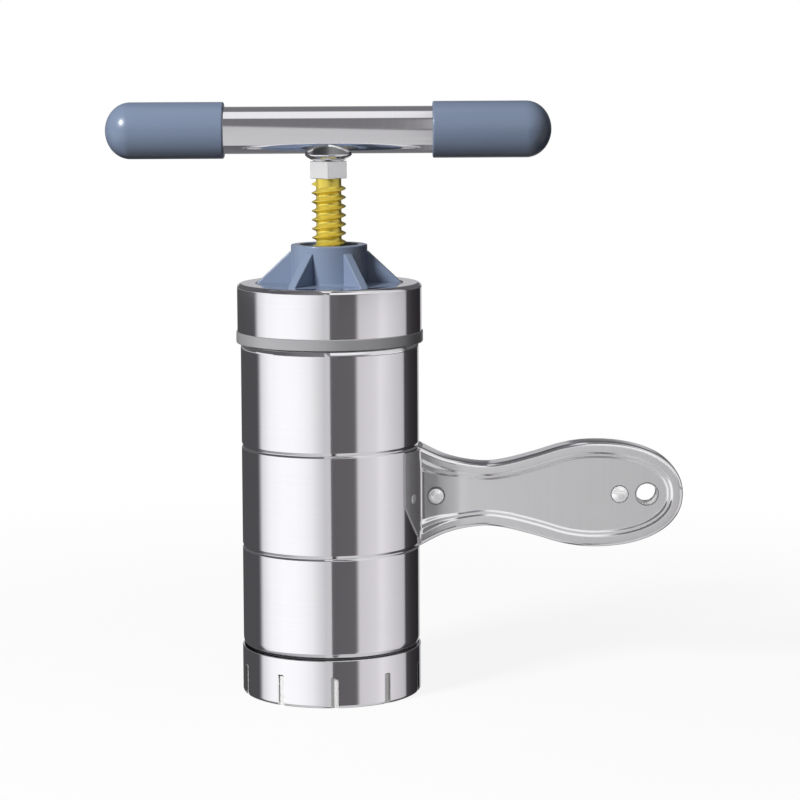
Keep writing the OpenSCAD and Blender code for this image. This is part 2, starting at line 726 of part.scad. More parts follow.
module saddle_washer() {
  middle = tube_z - tube_r + tube_r * saddle_lift_share;
  color("gainsboro")
    difference() {
      translate([0, 0, middle])
        scale([1, saddle_width_share, saddle_half_share]) sphere(r = tube_r, $fn = 32);
      translate([-tube_r, -tube_r, neck_z + neck_h - tube_r]) cube([2 * tube_r, 2 * tube_r, tube_r]);
      translate([-2 * tube_r, 0, tube_z]) rotate([0, 90, 0]) cylinder(h = 4 * tube_r, r = tube_r + face_gap);
      cylinder(h = tube_z, r = stub_r + running_gap);
    }
}

tube_in_r = tube_r - tube_wall;
tube_nut_r = 5.5;
tube_nut_h = 4;

// The nut inside the handle's tube
module tube_nut() {
  side = tube_nut_r * flat_share(6);
  color("silver")
    translate([0, 0, tube_z - sqrt(tube_in_r * tube_in_r - side * side) + face_gap])
      difference() {
        cylinder(h = tube_nut_h, r = tube_nut_r, $fn = 6);
        translate([0, 0, -over]) cylinder(h = tube_nut_h + 2 * over, r = stub_r + running_gap);
      }
}

// The handle's tube, drilled from below for the stub
module handle_tube() {
  half = bare_length / 2 + grip_depth;
  color("gainsboro")
    difference() {
      translate([-half, 0, tube_z]) rotate([0, 90, 0])
        difference() {
          cylinder(h = 2 * half, r = tube_r);
          translate([0, 0, -over]) cylinder(h = 2 * (half + over), r = tube_in_r);
        }
      translate([0, 0, tube_z - tube_r - over]) cylinder(h = tube_r, r = stub_r + seat_gap);
    }
}

// A grip along +X, from its mouth to its domed end
module grip() {
  mouth = bare_length / 2;
  bore = tube_r + skin_gap;
  edge = 0.5;
  color("slategray")
    translate([mouth, 0, tube_z]) rotate([0, 90, 0])
      rotate_extrude()
        polygon(concat([[bore, 0], [grip_r - edge, 0], [grip_r, edge]],
          oval(0, grip_length - dome_length, grip_r, dome_length, 0, 90, 9),
          [[0, grip_depth + seat_gap], [bore, grip_depth + seat_gap]]));
}

module left_grip() {
  mirror([1, 0, 0]) grip();
}

module right_grip() {
  grip();
}

die_r = female_crest_r - rim_gap;
die_in_r = plate_r + stop_gap;
die_foot_r = female_wall_r - lip_w - seat_gap;

// The die: a perforated floor, and a wall that the collar presses up against the barrel
module die() {
  color("white")
    difference() {
      rotate_extrude()
        polygon([[0, 0], [die_foot_r, 0], [die_foot_r, flange_z], [die_r, flange_z], [die_r, die_h],
          [die_in_r, die_h], [die_in_r, die_floor_t], [0, die_floor_t]]);
      for (ring = [1:noodle_rings], k = [0:6 * ring - 1])
        rotate([0, 0, 60 * k / ring])
          translate([noodle_pitch * ring, 0, -over]) cylinder(h = die_floor_t + 2 * over, r = noodle_r);
    }
}

// The collar: a drawn ring with an inward lip, grip slots and one thread
module collar() {
  foot_round = 1.2;
  top_round = 0.3;
  color("gainsboro") {
    difference() {
      rotate_extrude()
        polygon(concat([[female_wall_r - lip_w, 0]],
          arc(collar_r - foot_round, foot_round, foot_round, -90, 0, 5),
          [[collar_r, collar_h - top_round], [collar_r - top_round, collar_h], [female_wall_r, collar_h],
            [female_wall_r, lip_t], [female_wall_r - lip_w, lip_t]]));
      for (k = [0:slot_count - 1])
        rotate([0, 0, 360 * k / slot_count - 90 + slot_turn])
          translate([female_wall_r - lip_w - over, -slot_w / 2, -over])
            cube([collar_r, slot_w, slot_h + over]);
    }
    rim_thread(female_wall_r + rim_root_share * collar_wall, female_crest_r, low_female_z,
      low_female_turns, low_female_turn_start);
  }
}

barrel_tube();
handle_front_shell();
handle_back_shell();
root_rivet();
tip_rivet();
spot_welds();
lid_gasket();
lid_cap();
lid_sleeve();
lid_rim_ring();
drive_nut();
press_plate();
seal_ring();
thrust_washer();
screw_rod();
foot_bolt();
neck_block();
saddle_washer();
tube_nut();
handle_tube();
left_grip();
right_grip();
die();
collar();
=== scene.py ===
"""Looks of a hand press for fresh pasta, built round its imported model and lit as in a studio."""
import json
import math

import bmesh
import bpy
import numpy as np
from mathutils import Matrix, Vector

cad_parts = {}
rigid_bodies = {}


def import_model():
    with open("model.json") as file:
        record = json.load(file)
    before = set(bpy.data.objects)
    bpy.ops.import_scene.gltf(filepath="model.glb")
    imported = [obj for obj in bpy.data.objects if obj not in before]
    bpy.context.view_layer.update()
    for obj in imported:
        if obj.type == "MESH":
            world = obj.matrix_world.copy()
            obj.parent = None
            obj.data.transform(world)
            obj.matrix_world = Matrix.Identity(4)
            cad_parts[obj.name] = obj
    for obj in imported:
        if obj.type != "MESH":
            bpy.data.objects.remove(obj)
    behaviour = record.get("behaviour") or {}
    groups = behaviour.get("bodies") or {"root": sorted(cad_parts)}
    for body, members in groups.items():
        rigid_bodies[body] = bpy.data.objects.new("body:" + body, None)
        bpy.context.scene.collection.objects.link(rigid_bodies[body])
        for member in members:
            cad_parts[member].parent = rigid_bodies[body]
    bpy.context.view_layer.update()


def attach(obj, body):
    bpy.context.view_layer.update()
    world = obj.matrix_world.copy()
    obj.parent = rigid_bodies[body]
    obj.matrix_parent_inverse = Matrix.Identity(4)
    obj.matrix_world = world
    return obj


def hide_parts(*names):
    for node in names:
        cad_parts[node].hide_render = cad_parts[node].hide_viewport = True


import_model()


# Barrel
# A tube of polished stainless sheet with two rolled grooves. Each end is drawn in to a
# neck, and a thread is rolled into the neck for the lid above and the collar below.

MM = 0.001
STEPS = 216
JOIN_WITHIN = 0.002


def arc(x, z, radius, start, end, steps, squash=1.0):
    """Points round (x, z) from one angle to another, in degrees; squash shortens z."""
    angles = [math.radians(start + (end - start) * i / steps) for i in range(steps + 1)]
    return [(x + radius * math.cos(a), z + radius * squash * math.sin(a)) for a in angles]


def straight(r, low, high, steps):
    """Rows up a straight wall, close enough for a thread to be raised on it."""
    return [(r, low + (high - low) * i / steps) for i in range(steps + 1)]


def upright(r, angle, z):
    """A point of a piece that is turned round the barrel's axis."""
    return (r * math.cos(angle), r * math.sin(angle), z)


def sheet_inside(rows, thickness):
    """The hidden side of a sheet: each row moved in, square to the sheet."""
    inner = []
    for i, (r, z) in enumerate(rows):
        before, after = rows[max(i - 1, 0)], rows[min(i + 1, len(rows) - 1)]
        run, rise = after[0] - before[0], after[1] - before[1]
        length = math.hypot(run, rise)
        inner.append((r - thickness * rise / length, z + thickness * run / length))
    return inner


def new_piece(name, verts, faces):
    """A mesh object from points in millimetres."""
    mesh = bpy.data.meshes.new(name)
    mesh.from_pydata([tuple(c * MM for c in v) for v in verts], [], faces)
    piece = bpy.data.objects.new(name, mesh)
    bpy.context.scene.collection.objects.link(piece)
    return piece


def turned(name, rows, point=upright, steps=STEPS, ripple=None):
    """A piece turned round an axis from rows of (radius, height). The rows close to a ring,
    or start and end on the axis. ripple(radius, angle, height) gives a new radius."""
    verts, rings, faces = [], [], []
    for r, z in rows:
        if r < 1e-6:
            rings.append([len(verts)] * steps)
            verts.append(point(0, 0, z))
            continue
        rings.append(list(range(len(verts), len(verts) + steps)))
        for j in range(steps):
            angle = 2 * math.pi * j / steps
            verts.append(point(ripple(r, angle, z) if ripple else r, angle, z))
    if rows[0][0] > 1e-6:
        rings.append(rings[0])
    for low, high in zip(rings, rings[1:]):
        for j in range(steps):
            k = (j + 1) % steps
            face = []
            for v in (low[j], low[k], high[k], high[j]):
                if v not in face:
                    face.append(v)
            if len(face) > 2:
                faces.append(face)
    return new_piece(name, verts, faces)


def settled(piece, angle=35):
    """Applies the modifiers, turns the faces outwards and shades smooth up to an angle."""
    graph = bpy.context.evaluated_depsgraph_get()
    mesh = bpy.data.meshes.new_from_object(piece.evaluated_get(graph))
    piece.modifiers.clear()
    old, piece.data = piece.data, mesh
    bpy.data.meshes.remove(old)
    work = bmesh.new()
    work.from_mesh(mesh)
    bmesh.ops.remove_doubles(work, verts=work.verts, dist=JOIN_WITHIN * MM)
    bmesh.ops.recalc_face_normals(work, faces=work.faces)
    work.to_mesh(mesh)
    work.free()
    mesh.shade_smooth()
    mesh.set_sharp_from_angle(angle=math.radians(angle))
    weighted = piece.modifiers.new("weighted normals", "WEIGHTED_NORMAL")
    weighted.keep_sharp = True
    return piece


def finished(piece, body, material, slot, *nodes, angle=35):
    """Settles a piece, gives it material and body, and hides its CAD nodes; slot is not used."""
    settled(piece, angle)
    piece.data.materials.append(material)
    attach(piece, body)
    if nodes:
        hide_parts(*nodes)
    return piece


def add_nodes(tree, kind, **settings):
    """A new node; settings are its properties, or its inputs by name with _ for a space."""
    node = tree.nodes.new(kind)
    for key, value in settings.items():
        label = key.replace("_", " ")
        if hasattr(node, key):
            setattr(node, key, value)
        else:
            node.inputs[label].default_value = value
    return node


def math_node(tree, operation, a, b=0.0, c=0.0):
    """A Math node; each of a, b and c is a socket or a number."""
    node = add_nodes(tree, "ShaderNodeMath", operation=operation)
    for socket, value in zip(node.inputs, (a, b, c)):
        if isinstance(value, (int, float)):
            socket.default_value = value
        else:
            tree.links.new(value, socket)
    return node.outputs[0]


def new_group(name, inputs, outputs):
    """An empty shader group from the defaults of its inputs and the kinds of its outputs."""
    group = bpy.data.node_groups.new(name, "ShaderNodeTree")
    kinds = {"value": "NodeSocketFloat", "vector": "NodeSocketVector"}
    for label, (kind, default) in inputs.items():
        socket = group.interface.new_socket(label, in_out="INPUT", socket_type=kinds[kind])
        socket.default_value = default
    for label, kind in outputs.items():
        group.interface.new_socket(label, in_out="OUTPUT", socket_type=kinds[kind])
    return group, group.nodes.new("NodeGroupInput"), group.nodes.new("NodeGroupOutput")


def grain_group():
    """Fine lines and faint smears: a varied roughness, a shade round 1 and a height."""
    group, given, result = new_group(
        "grain",
        {"Stretch": ("vector", (1, 1, 1)), "Smear Scale": ("value", 60.0),
         "Roughness": ("value", 0.1), "Roughness Spread": ("value", 0.02),
         "Shade Spread": ("value", 0.05)},
        {"Roughness": "value", "Shade": "value", "Height": "value"})
    place = add_nodes(group, "ShaderNodeTexCoord")
    scaled = add_nodes(group, "ShaderNodeVectorMath", operation="MULTIPLY")
    lines = add_nodes(group, "ShaderNodeTexNoise", Scale=1.0, Detail=3.0)
    smears = add_nodes(group, "ShaderNodeTexNoise", Detail=2.0)
    links = group.links
    links.new(place.outputs["Object"], scaled.inputs[0])
    links.new(given.outputs["Stretch"], scaled.inputs[1])
    links.new(scaled.outputs[0], lines.inputs["Vector"])
    links.new(place.outputs["Object"], smears.inputs["Vector"])
    links.new(given.outputs["Smear Scale"], smears.inputs["Scale"])
    both = math_node(group, "ADD", lines.outputs["Fac"], smears.outputs["Fac"])
    centred = math_node(group, "SUBTRACT", both, 1.0)
    rough = math_node(group, "MULTIPLY_ADD", centred, given.outputs["Roughness Spread"],
                      given.outputs["Roughness"])
    shade = math_node(group, "MULTIPLY_ADD", centred, given.outputs["Shade Spread"], 1.0)
    links.new(rough, result.inputs["Roughness"])
    links.new(shade, result.inputs["Shade"])
    links.new(lines.outputs["Fac"], result.inputs["Height"])
    return group


grain = grain_group()


def grained(name, colour, metallic, roughness, stretch, rough_spread=0.02, shade_spread=0.04,
            bump=0.05, depth=0.02, smear_scale=60.0):
    """A material with the grain group on its colour, roughness and normal."""
    material = bpy.data.materials.new(name)
    material.use_nodes = True
    tree = material.node_tree
    surface = tree.nodes["Principled BSDF"]
    surface.inputs["Metallic"].default_value = metallic
    lines = add_nodes(tree, "ShaderNodeGroup", node_tree=grain)
    lines.inputs["Stretch"].default_value = stretch
    lines.inputs["Smear Scale"].default_value = smear_scale
    lines.inputs["Roughness"].default_value = roughness
    lines.inputs["Roughness Spread"].default_value = rough_spread
    lines.inputs["Shade Spread"].default_value = shade_spread
    tint = add_nodes(tree, "ShaderNodeVectorMath", operation="SCALE")
    tint.inputs[0].default_value = colour
    dents = add_nodes(tree, "ShaderNodeBump", Strength=bump, Distance=depth * MM)
    tree.links.new(lines.outputs["Shade"], tint.inputs["Scale"])
    tree.links.new(tint.outputs[0], surface.inputs["Base Color"])
    tree.links.new(lines.outputs["Roughness"], surface.inputs["Roughness"])
    tree.links.new(lines.outputs["Height"], dents.inputs["Height"])
    tree.links.new(dents.outputs["Normal"], surface.inputs["Normal"])
    return material


BARREL_R = 30.0
SHEET = 0.6
NECK_R = 28.85
RIM_EDGE = 0.15
BARREL_FOOT, BARREL_TOP = 10.9, 134.0
SHOULDER_H = 2.7
LOW_NECK_H, TOP_NECK_H = 5.6, 14.3
GROOVES = (50.0, 84.2)
RIM_PITCH = 3.0
RIM_THREAD_H, RIM_THREAD_HALF = 0.65, 0.8
LOW_THREAD_START, LOW_THREAD_TURNS = 12.1, 1.2
TOP_THREAD_START, TOP_THREAD_TURNS = 125.5, 2.5
THREAD_RUNOUT = 0.12
PAINTED_SHADE_WITHIN_R = 29.2


def wound_rib(start, turns, height, half_width=RIM_THREAD_HALF):
    """A ripple that adds a rounded thread, run out at both ends. start is its height."""
    def ripple(r, angle, z):
        for turn in range(int(turns) + 1):
            wound = turn + angle / (2 * math.pi)
            offset = z - (start + RIM_PITCH * wound)
            if wound <= turns and abs(offset) < half_width:
                fade = min(1.0, wound / THREAD_RUNOUT, (turns - wound) / THREAD_RUNOUT)
                return r + height * fade * (1 + math.cos(math.pi * offset / half_width)) / 2
        return r
    return ripple


def groove(z):
    """A rolled groove, steep below its bottom and gentle above it: (radius, height) rows."""
    steps = ((-0.62, 0), (-0.55, 0.02), (-0.2, 0.38), (-0.08, 0.46), (0.08, 0.48), (0.25, 0.44),
             (0.45, 0.35), (0.9, 0.12), (1.1, 0.03), (1.25, 0))
    return [(BARREL_R - depth, z + offset) for offset, depth in steps]


neck_step = BARREL_R - NECK_R
bulge = SHOULDER_H / neck_step
outer = (straight(NECK_R, BARREL_FOOT + RIM_EDGE, BARREL_FOOT + LOW_NECK_H, 34)
         + arc(NECK_R, BARREL_FOOT + LOW_NECK_H + SHOULDER_H, neck_step, -90, 0, 12, bulge)[1:]
         + groove(GROOVES[0]) + groove(GROOVES[1])
         + arc(NECK_R, BARREL_TOP - TOP_NECK_H - SHOULDER_H, neck_step, 0, 90, 12, bulge)
         + straight(NECK_R, BARREL_TOP - TOP_NECK_H, BARREL_TOP - RIM_EDGE, 84)[1:])
middle_r = NECK_R - SHEET / 2
rows = ([(middle_r + RIM_EDGE, BARREL_FOOT)] + outer
        + [(middle_r + RIM_EDGE, BARREL_TOP), (middle_r - RIM_EDGE, BARREL_TOP)]
        + sheet_inside(outer, SHEET)[::-1] + [(middle_r - RIM_EDGE, BARREL_FOOT)])
low_thread = wound_rib(LOW_THREAD_START, LOW_THREAD_TURNS, RIM_THREAD_H)
top_thread = wound_rib(TOP_THREAD_START, TOP_THREAD_TURNS, RIM_THREAD_H)


def both_threads(r, angle, z):
    """The lid's thread on the upper neck and the collar's on the lower one."""
    return (top_thread if z > GROOVES[1] else low_thread)(r, angle, z)


polished_steel = grained("polished steel", (0.90, 0.895, 0.91), 1.0, 0.07, (4, 4, 900))
# A dark rough steel that paints shade: on the barrel's necks, round the rivet heads and in the saddle
# washer's hollow
painted_shade_steel = grained("drawn steel", (0.26, 0.26, 0.27), 1.0, 0.34, (30, 30, 900), rough_spread=0.06)
barrel = turned("barrel", rows, ripple=both_threads)
finished(barrel, "barrel", polished_steel, "polished_steel", "barrel_tube")
# Faces on the necks get the dark steel: painted shade for the dark gaps under the lid's ring and above the
# collar
barrel.data.materials.append(painted_shade_steel)
for face in barrel.data.polygons:
    face.material_index = int(math.hypot(face.center.x, face.center.y) < PAINTED_SHADE_WITHIN_R * MM)


# Collar
# A drawn ring of the same polished sheet. Its lip carries the die, ten slots give the
# fingers a grip, and one rolled thread on the inside screws it to the barrel's lower neck.

COLLAR_R, COLLAR_H = 30.3, 16.1
COLLAR_IN_R = 29.7
LIP_IN_R, LIP_T = 26.8, 0.9
FOOT_ROUND, LIP_ROUND, TOP_ROUND, BORE_ROUND, CORNER_ROUND = 1.2, 0.2, 0.25, 0.1, 0.3
SLOTS, SLOT_W, SLOT_H, SLOT_TURN, SLOT_ROUND = 10, 2.4, 10.5, 3.0, 0.5
COLLAR_THREAD_START, COLLAR_THREAD_TURNS, INNER_THREAD_HALF = 10.6, 1.55, 0.6
WALL_ROW = 0.2
OVERRUN = 1.0


def without(piece, cutter):
    """Cuts a closed mesh out of a piece, and removes the cutter."""
    cut = piece.modifiers.new("cut", "BOOLEAN")
    cut.operation = "DIFFERENCE"
    cut.solver = "EXACT"
    cut.object = cutter
    graph = bpy.context.evaluated_depsgraph_get()
    mesh = bpy.data.meshes.new_from_object(piece.evaluated_get(graph))
    piece.modifiers.clear()
    old, piece.data = piece.data, mesh
    bpy.data.meshes.remove(old)
    bpy.data.objects.remove(cutter)
    return piece


def prism(outline, near, far, point):
    """A closed prism from a list of (u, v) corners, between near and far along a third way."""
    verts, faces = [], []
    count = len(outline)
    for w in (near, far):
        verts += [point(u, v, w) for u, v in outline]
    faces.append(list(range(count)))
    faces.append([count + i for i in reversed(range(count))])
    for i in range(count):
        j = (i + 1) % count
        faces.append([j, i, count + i, count + j])
    return verts, faces


def joined(name, parts):
    """One mesh object from several (verts, faces)."""
    verts, faces = [], []
    for part_verts, part_faces in parts:
        start = len(verts)
        verts += part_verts
        faces += [[start + v for v in face] for face in part_faces]
    return outwards(new_piece(name, verts, faces))


def outwards(piece):
    """Turns a closed mesh's faces outwards, as cutting needs."""
    work = bmesh.new()
    work.from_mesh(piece.data)
    bmesh.ops.recalc_face_normals(work, faces=work.faces)
    work.to_mesh(piece.data)
    work.free()
    return piece


def slot_part(turn):
    """One slot's cutter: a tall box with rounded upper corners, lying along its radius."""
    flat, top = SLOT_W / 2 - SLOT_ROUND, SLOT_H - SLOT_ROUND
    outline = ([(-SLOT_W / 2, -OVERRUN), (SLOT_W / 2, -OVERRUN)] + arc(flat, top, SLOT_ROUND, 0, 90, 4)
               + arc(-flat, top, SLOT_ROUND, 90, 180, 4))
    c, s = math.cos(turn), math.sin(turn)
    return prism(outline, LIP_IN_R - OVERRUN, COLLAR_R + OVERRUN,
                 lambda u, v, w: (w * c - u * s, w * s + u * c, v))


def threaded_bore(bore, thread):
    """A ripple that winds a thread on the rows of a bore and leaves the other rows alone."""
    return lambda r, angle, z: thread(r, angle, z) if abs(r - bore) < 0.01 else r


outer = (arc(LIP_IN_R + LIP_ROUND, LIP_ROUND, LIP_ROUND, 180, 270, 3)
         + arc(COLLAR_R - FOOT_ROUND, FOOT_ROUND, FOOT_ROUND, -90, 0, 8)
         + arc(COLLAR_R - TOP_ROUND, COLLAR_H - TOP_ROUND, TOP_ROUND, 0, 90, 4))
inner = (arc(COLLAR_IN_R + BORE_ROUND, COLLAR_H - BORE_ROUND, BORE_ROUND, 90, 180, 2)
         + [(COLLAR_IN_R, COLLAR_H - 0.5 - WALL_ROW * i) for i in range(71)]
         + arc(COLLAR_IN_R - CORNER_ROUND, LIP_T + CORNER_ROUND, CORNER_ROUND, 0, -90, 3)
         + [(LIP_IN_R + LIP_ROUND, LIP_T)])
collar_thread = wound_rib(COLLAR_THREAD_START, COLLAR_THREAD_TURNS, -RIM_THREAD_H, INNER_THREAD_HALF)
collar = turned("collar", outer + inner, ripple=threaded_bore(COLLAR_IN_R, collar_thread))
cutters = joined("slots", [slot_part(math.radians(360 * k / SLOTS - 90 + SLOT_TURN))
                           for k in range(SLOTS)])
without(outwards(collar), cutters)
finished(collar, "collar", polished_steel, "polished_steel", "collar")


# Die and seals
# These sit inside the press: a white moulded die and press plate, rubber and silicone
# seals, a bronze thrust washer, and steel nuts and a bolt. They keep their CAD shapes, and
# a thin band widens the die's rim, which shows white through the collar's slots.

BAND_R, BAND_IN_R, BAND_H, BAND_EDGE = 29.25, 28.2, 10.0, 0.05

white_plastic = grained("white plastic", (0.86, 0.86, 0.85), 0.0, 0.42, (300, 300, 300),
                        rough_spread=0.05, shade_spread=0.02, bump=0.08)
silicone = grained("milky silicone", (0.72, 0.71, 0.68), 0.0, 0.5, (400, 400, 400), bump=0.05)
rubber = grained("black rubber", (0.03, 0.03, 0.032), 0.0, 0.6, (500, 500, 500),
                 rough_spread=0.08, bump=0.1)
bronze = grained("sintered bronze", (0.62, 0.42, 0.2), 1.0, 0.38, (800, 800, 800), rough_spread=0.1)
plain_steel = grained("turned steel", (0.62, 0.61, 0.6), 1.0, 0.26, (30, 30, 1500),
                      rough_spread=0.08, bump=0.15)
for node, material in (("die", white_plastic), ("press_plate", white_plastic),
                       ("lid_gasket", silicone), ("seal_ring", rubber), ("thrust_washer", bronze),
                       ("drive_nut", plain_steel), ("foot_bolt", plain_steel),
                       ("tube_nut", plain_steel)):
    for slot in bpy.data.objects[node].material_slots:
        slot.material = material
rows = [(BAND_IN_R, BAND_EDGE), (BAND_R - BAND_EDGE, BAND_EDGE), (BAND_R, 2 * BAND_EDGE),
        (BAND_R, BAND_H - BAND_EDGE), (BAND_R - BAND_EDGE, BAND_H), (BAND_IN_R, BAND_H)]
die_band = turned("die_band", rows)
finished(die_band, "die", white_plastic, "white_plastic", angle=50)


# Side handle
# Two stamped halves of satin stainless sheet with a raised border round a sunken panel.
# Their rims meet in the middle, and each half's tongue is spot welded to the barrel.

HANDLE_Z, HANDLE_REACH, HANDLE_W = 67.2, 119.0, 35.9
HALF_T, FLARE, ROOT_LENGTH = 5.0, 2.2, 13.0
SHELL = 0.8
RIM_ROUND, RIM_STEPS = 1.5, 6
BORDER, STEP_W, PANEL_DROP = 3.3, 2.4, 0.6
ROOT_BORDER, ROOT_STEP_W, ROOT_DROP = 0.3, 2.6, 0.9
ROOT_END, ROOT_FADE = BARREL_R + ROOT_LENGTH + 3, ROOT_LENGTH + 2
ROOT_COLUMNS, PANEL_ROWS = 22, 12
SEAM, TONGUE_GAP = 0.05, 0.05
TONGUE_R = BARREL_R + TONGUE_GAP + SHELL
TONGUE_END, TONGUE_TOP, TONGUE_LOW = 35.0, 16.1, -1.6
FILLET, FILLET_STEPS = 1.0, 6
HANG_X, HANG_R, HANG_WALL = 106.8, 3.5, 0.5
HANG_DEPTH, HANG_EDGE = 4.4, 0.2
EDGE_TILT = 11
# Places as shares of the length from barrel to tip, half widths as shares of the greatest
HANDLE_SHARES = [(-0.1, 1.1), (-0.05, 1.03), (0, 0.945), (0.1, 0.72), (0.22, 0.6), (0.31, 0.62),
                 (0.43, 0.765), (0.53, 0.915), (0.6, 0.98), (0.665, 1), (0.73, 0.985)]
END_SHARE, END_POWER = 0.665, 0.91


def handle_edge():
    """The handle's upper edge (x, z) from the barrel to the tip, and its inward normals."""
    run = HANDLE_REACH - BARREL_R
    stations = [np.array((BARREL_R + run * x, HANDLE_W / 2 * w)) for x, w in HANDLE_SHARES]
    points = []
    for i in range(1, len(stations) - 2):
        a, b, c, d = stations[i - 1:i + 3]
        for t in np.arange(0, 1, 1 / 12):
            points.append(0.5 * (2 * b + (c - a) * t + (2 * a - 5 * b + 4 * c - d) * t * t
                                 + (3 * b - a - 3 * c + d) * t ** 3))
    end_x, steps = BARREL_R + run * END_SHARE, 56
    for i in range(steps + 1):
        a = math.pi / 2 * i / steps
        points.append(np.array((end_x + (HANDLE_REACH - end_x) * math.sin(a) ** END_POWER,
                                HANDLE_W / 2 * max(math.cos(a), 0) ** END_POWER)))
    points[-1][1] = 0
    points = np.array(points)
    way = np.gradient(points, axis=0)
    way[-1] = (0, -1)
    way /= np.linalg.norm(way, axis=1, keepdims=True)
    return points, np.column_stack((way[:, 1], -way[:, 0]))


def face_distance(x):
    """The front face's distance from the handle's middle: flared towards the barrel."""
    slope, bend, soft = FLARE / ROOT_LENGTH, BARREL_R + ROOT_LENGTH, 1.6
    if x > bend + soft:
        return HALF_T
    if x < bend - soft:
        return HALF_T + slope * (bend - x)
    return HALF_T + slope * (bend + soft - x) ** 2 / (4 * soft)


def root_share(x):
    """1 at the barrel and 0 a little past the bend."""
    t = min(1.0, max(0.0, (ROOT_END - x) / ROOT_FADE))
    return t * t * (3 - 2 * t)


def rim_rows():
    """Rows from the seam to the panel: inset from the edge and depth behind the front face
    as functions of x, and whether the row goes on into the tongue."""
    rows = [(lambda x: 0.0, None, False)]
    for i in range(RIM_STEPS + 1):
        a = math.pi / 2 * i / RIM_STEPS
        rows.append((lambda x, a=a: RIM_ROUND * (1 - math.cos(a)),
                     lambda x, a=a: RIM_ROUND * (1 - math.sin(a)), i > 3))
    for i in range(15):
        first, second = min(1.0, i / 6), min(1.0, max(0.0, (i - 8) / 6))
        drop = 0.5 - 0.3 * math.cos(math.pi * first) - 0.2 * math.cos(math.pi * second)
        rows.append((lambda x, s=i / 14: BORDER - ROOT_BORDER * root_share(x)
                     + (STEP_W + ROOT_STEP_W * root_share(x)) * s,
                     lambda x, d=drop: (PANEL_DROP + ROOT_DROP * root_share(x)) * d, True))
    return rows


def root_path(y_of, tongued):
    """Where a row leaves the barrel: (x, y) points from the tongue's edge to the face."""
    if not tongued:
        return [(math.sqrt((BARREL_R + TONGUE_GAP) ** 2 - y_of(BARREL_R) ** 2), y_of(BARREL_R))]
    out = -y_of(BARREL_R + FILLET) + FILLET
    centre_x = math.sqrt((TONGUE_R + FILLET) ** 2 - out ** 2)
    start = math.atan2(out, centre_x)
    end = math.radians(TONGUE_END)
    path = [(TONGUE_R * math.cos(a), -TONGUE_R * math.sin(a)) for a in np.linspace(end, start, 15)]
    path += arc(centre_x, -out, FILLET, 180 - math.degrees(start), 90, FILLET_STEPS)[1:]
    return path


def upper_rows():
    """Rows of the handle's upper half, from the seam to the panel, and their tongue paths."""
    edge, inward = handle_edge()
    waist = int(np.argmin(np.where(edge[:, 0] < BARREL_R + 30, edge[:, 1], 99)))
    upper, paths = [], []
    for inset, depth, tongued in rim_rows():
        curve = edge + inward * np.array([inset(p[0]) for p in edge])[:, None]
        root_x, root_z = curve[:waist + 1].T

        def y_of(x, depth=depth):
            return -SEAM if depth is None else depth(x) - face_distance(x)

        path = root_path(y_of, tongued)
        start = path[-1][0]
        row = [(*path[-1], float(np.interp(start, root_x, root_z)))] if tongued else []
        for i in range(1 if tongued else 0, ROOT_COLUMNS):
            x = start + (curve[waist][0] - start) * (i / ROOT_COLUMNS) ** 1.2
            row.append((x, y_of(x), float(np.interp(x, root_x, root_z))))
        row += [(x, y_of(x), z) for x, z in curve[waist:]]
        row[-1] = (*row[-1][:2], 0.0)
        upper.append(row)
        paths.append(path[:-1] if tongued else None)
    return upper, paths


def all_rows():
    """The rows of the whole face, from the upper seam to the lower one, and their paths."""
    upper, paths = upper_rows()
    flips = [1 - 2 * k / PANEL_ROWS for k in range(1, PANEL_ROWS)]
    grid = upper + [[(x, y, z * f) for x, y, z in upper[-1]] for f in flips]
    grid += [[(x, y, -z) for x, y, z in row] for row in reversed(upper)]
    return grid, paths + [paths[-1]] * len(flips) + paths[::-1]


def stitched(grid, paths):
    """Corners and faces of the rows. A tongue's columns count back from -1 at the face."""
    tongue = [i for i, path in enumerate(paths) if path]
    top, low = grid[tongue[0]][0][2], grid[tongue[-1]][0][2]
    verts, faces, index = [], [], {}
    for i, row in enumerate(grid):
        for j, point in enumerate(row):
            index[(i, j)] = len(verts)
            verts.append(point)
        if paths[i]:
            share = (row[0][2] - low) / (top - low)
            near, far = paths[i][-1][0], paths[i][0][0]
            for j, (x, y) in enumerate(reversed(paths[i])):
                out = max(0.0, (near - x) / (near - far))
                high_z, low_z = top + (TONGUE_TOP - top) * out, low + (TONGUE_LOW - low) * out
                index[(i, -1 - j)] = len(verts)
                verts.append((x, y, low_z + (high_z - low_z) * share))
    tongue_columns = len(paths[tongue[0]])
    for i in range(len(grid) - 1):
        first = -tongue_columns if paths[i] and paths[i + 1] else 0
        for j in range(first, len(grid[0]) - 1):
            faces.append([index[(i, j)], index[(i + 1, j)], index[(i + 1, j + 1)], index[(i, j + 1)]])
    for outer_row, inner_row in ((tongue[0] - 1, tongue[0]), (tongue[-1] + 1, tongue[-1])):
        for j in range(-FILLET_STEPS, 0):
            faces.append([index[(outer_row, 0)], index[(inner_row, j)], index[(inner_row, j + 1)]])
    return verts, faces


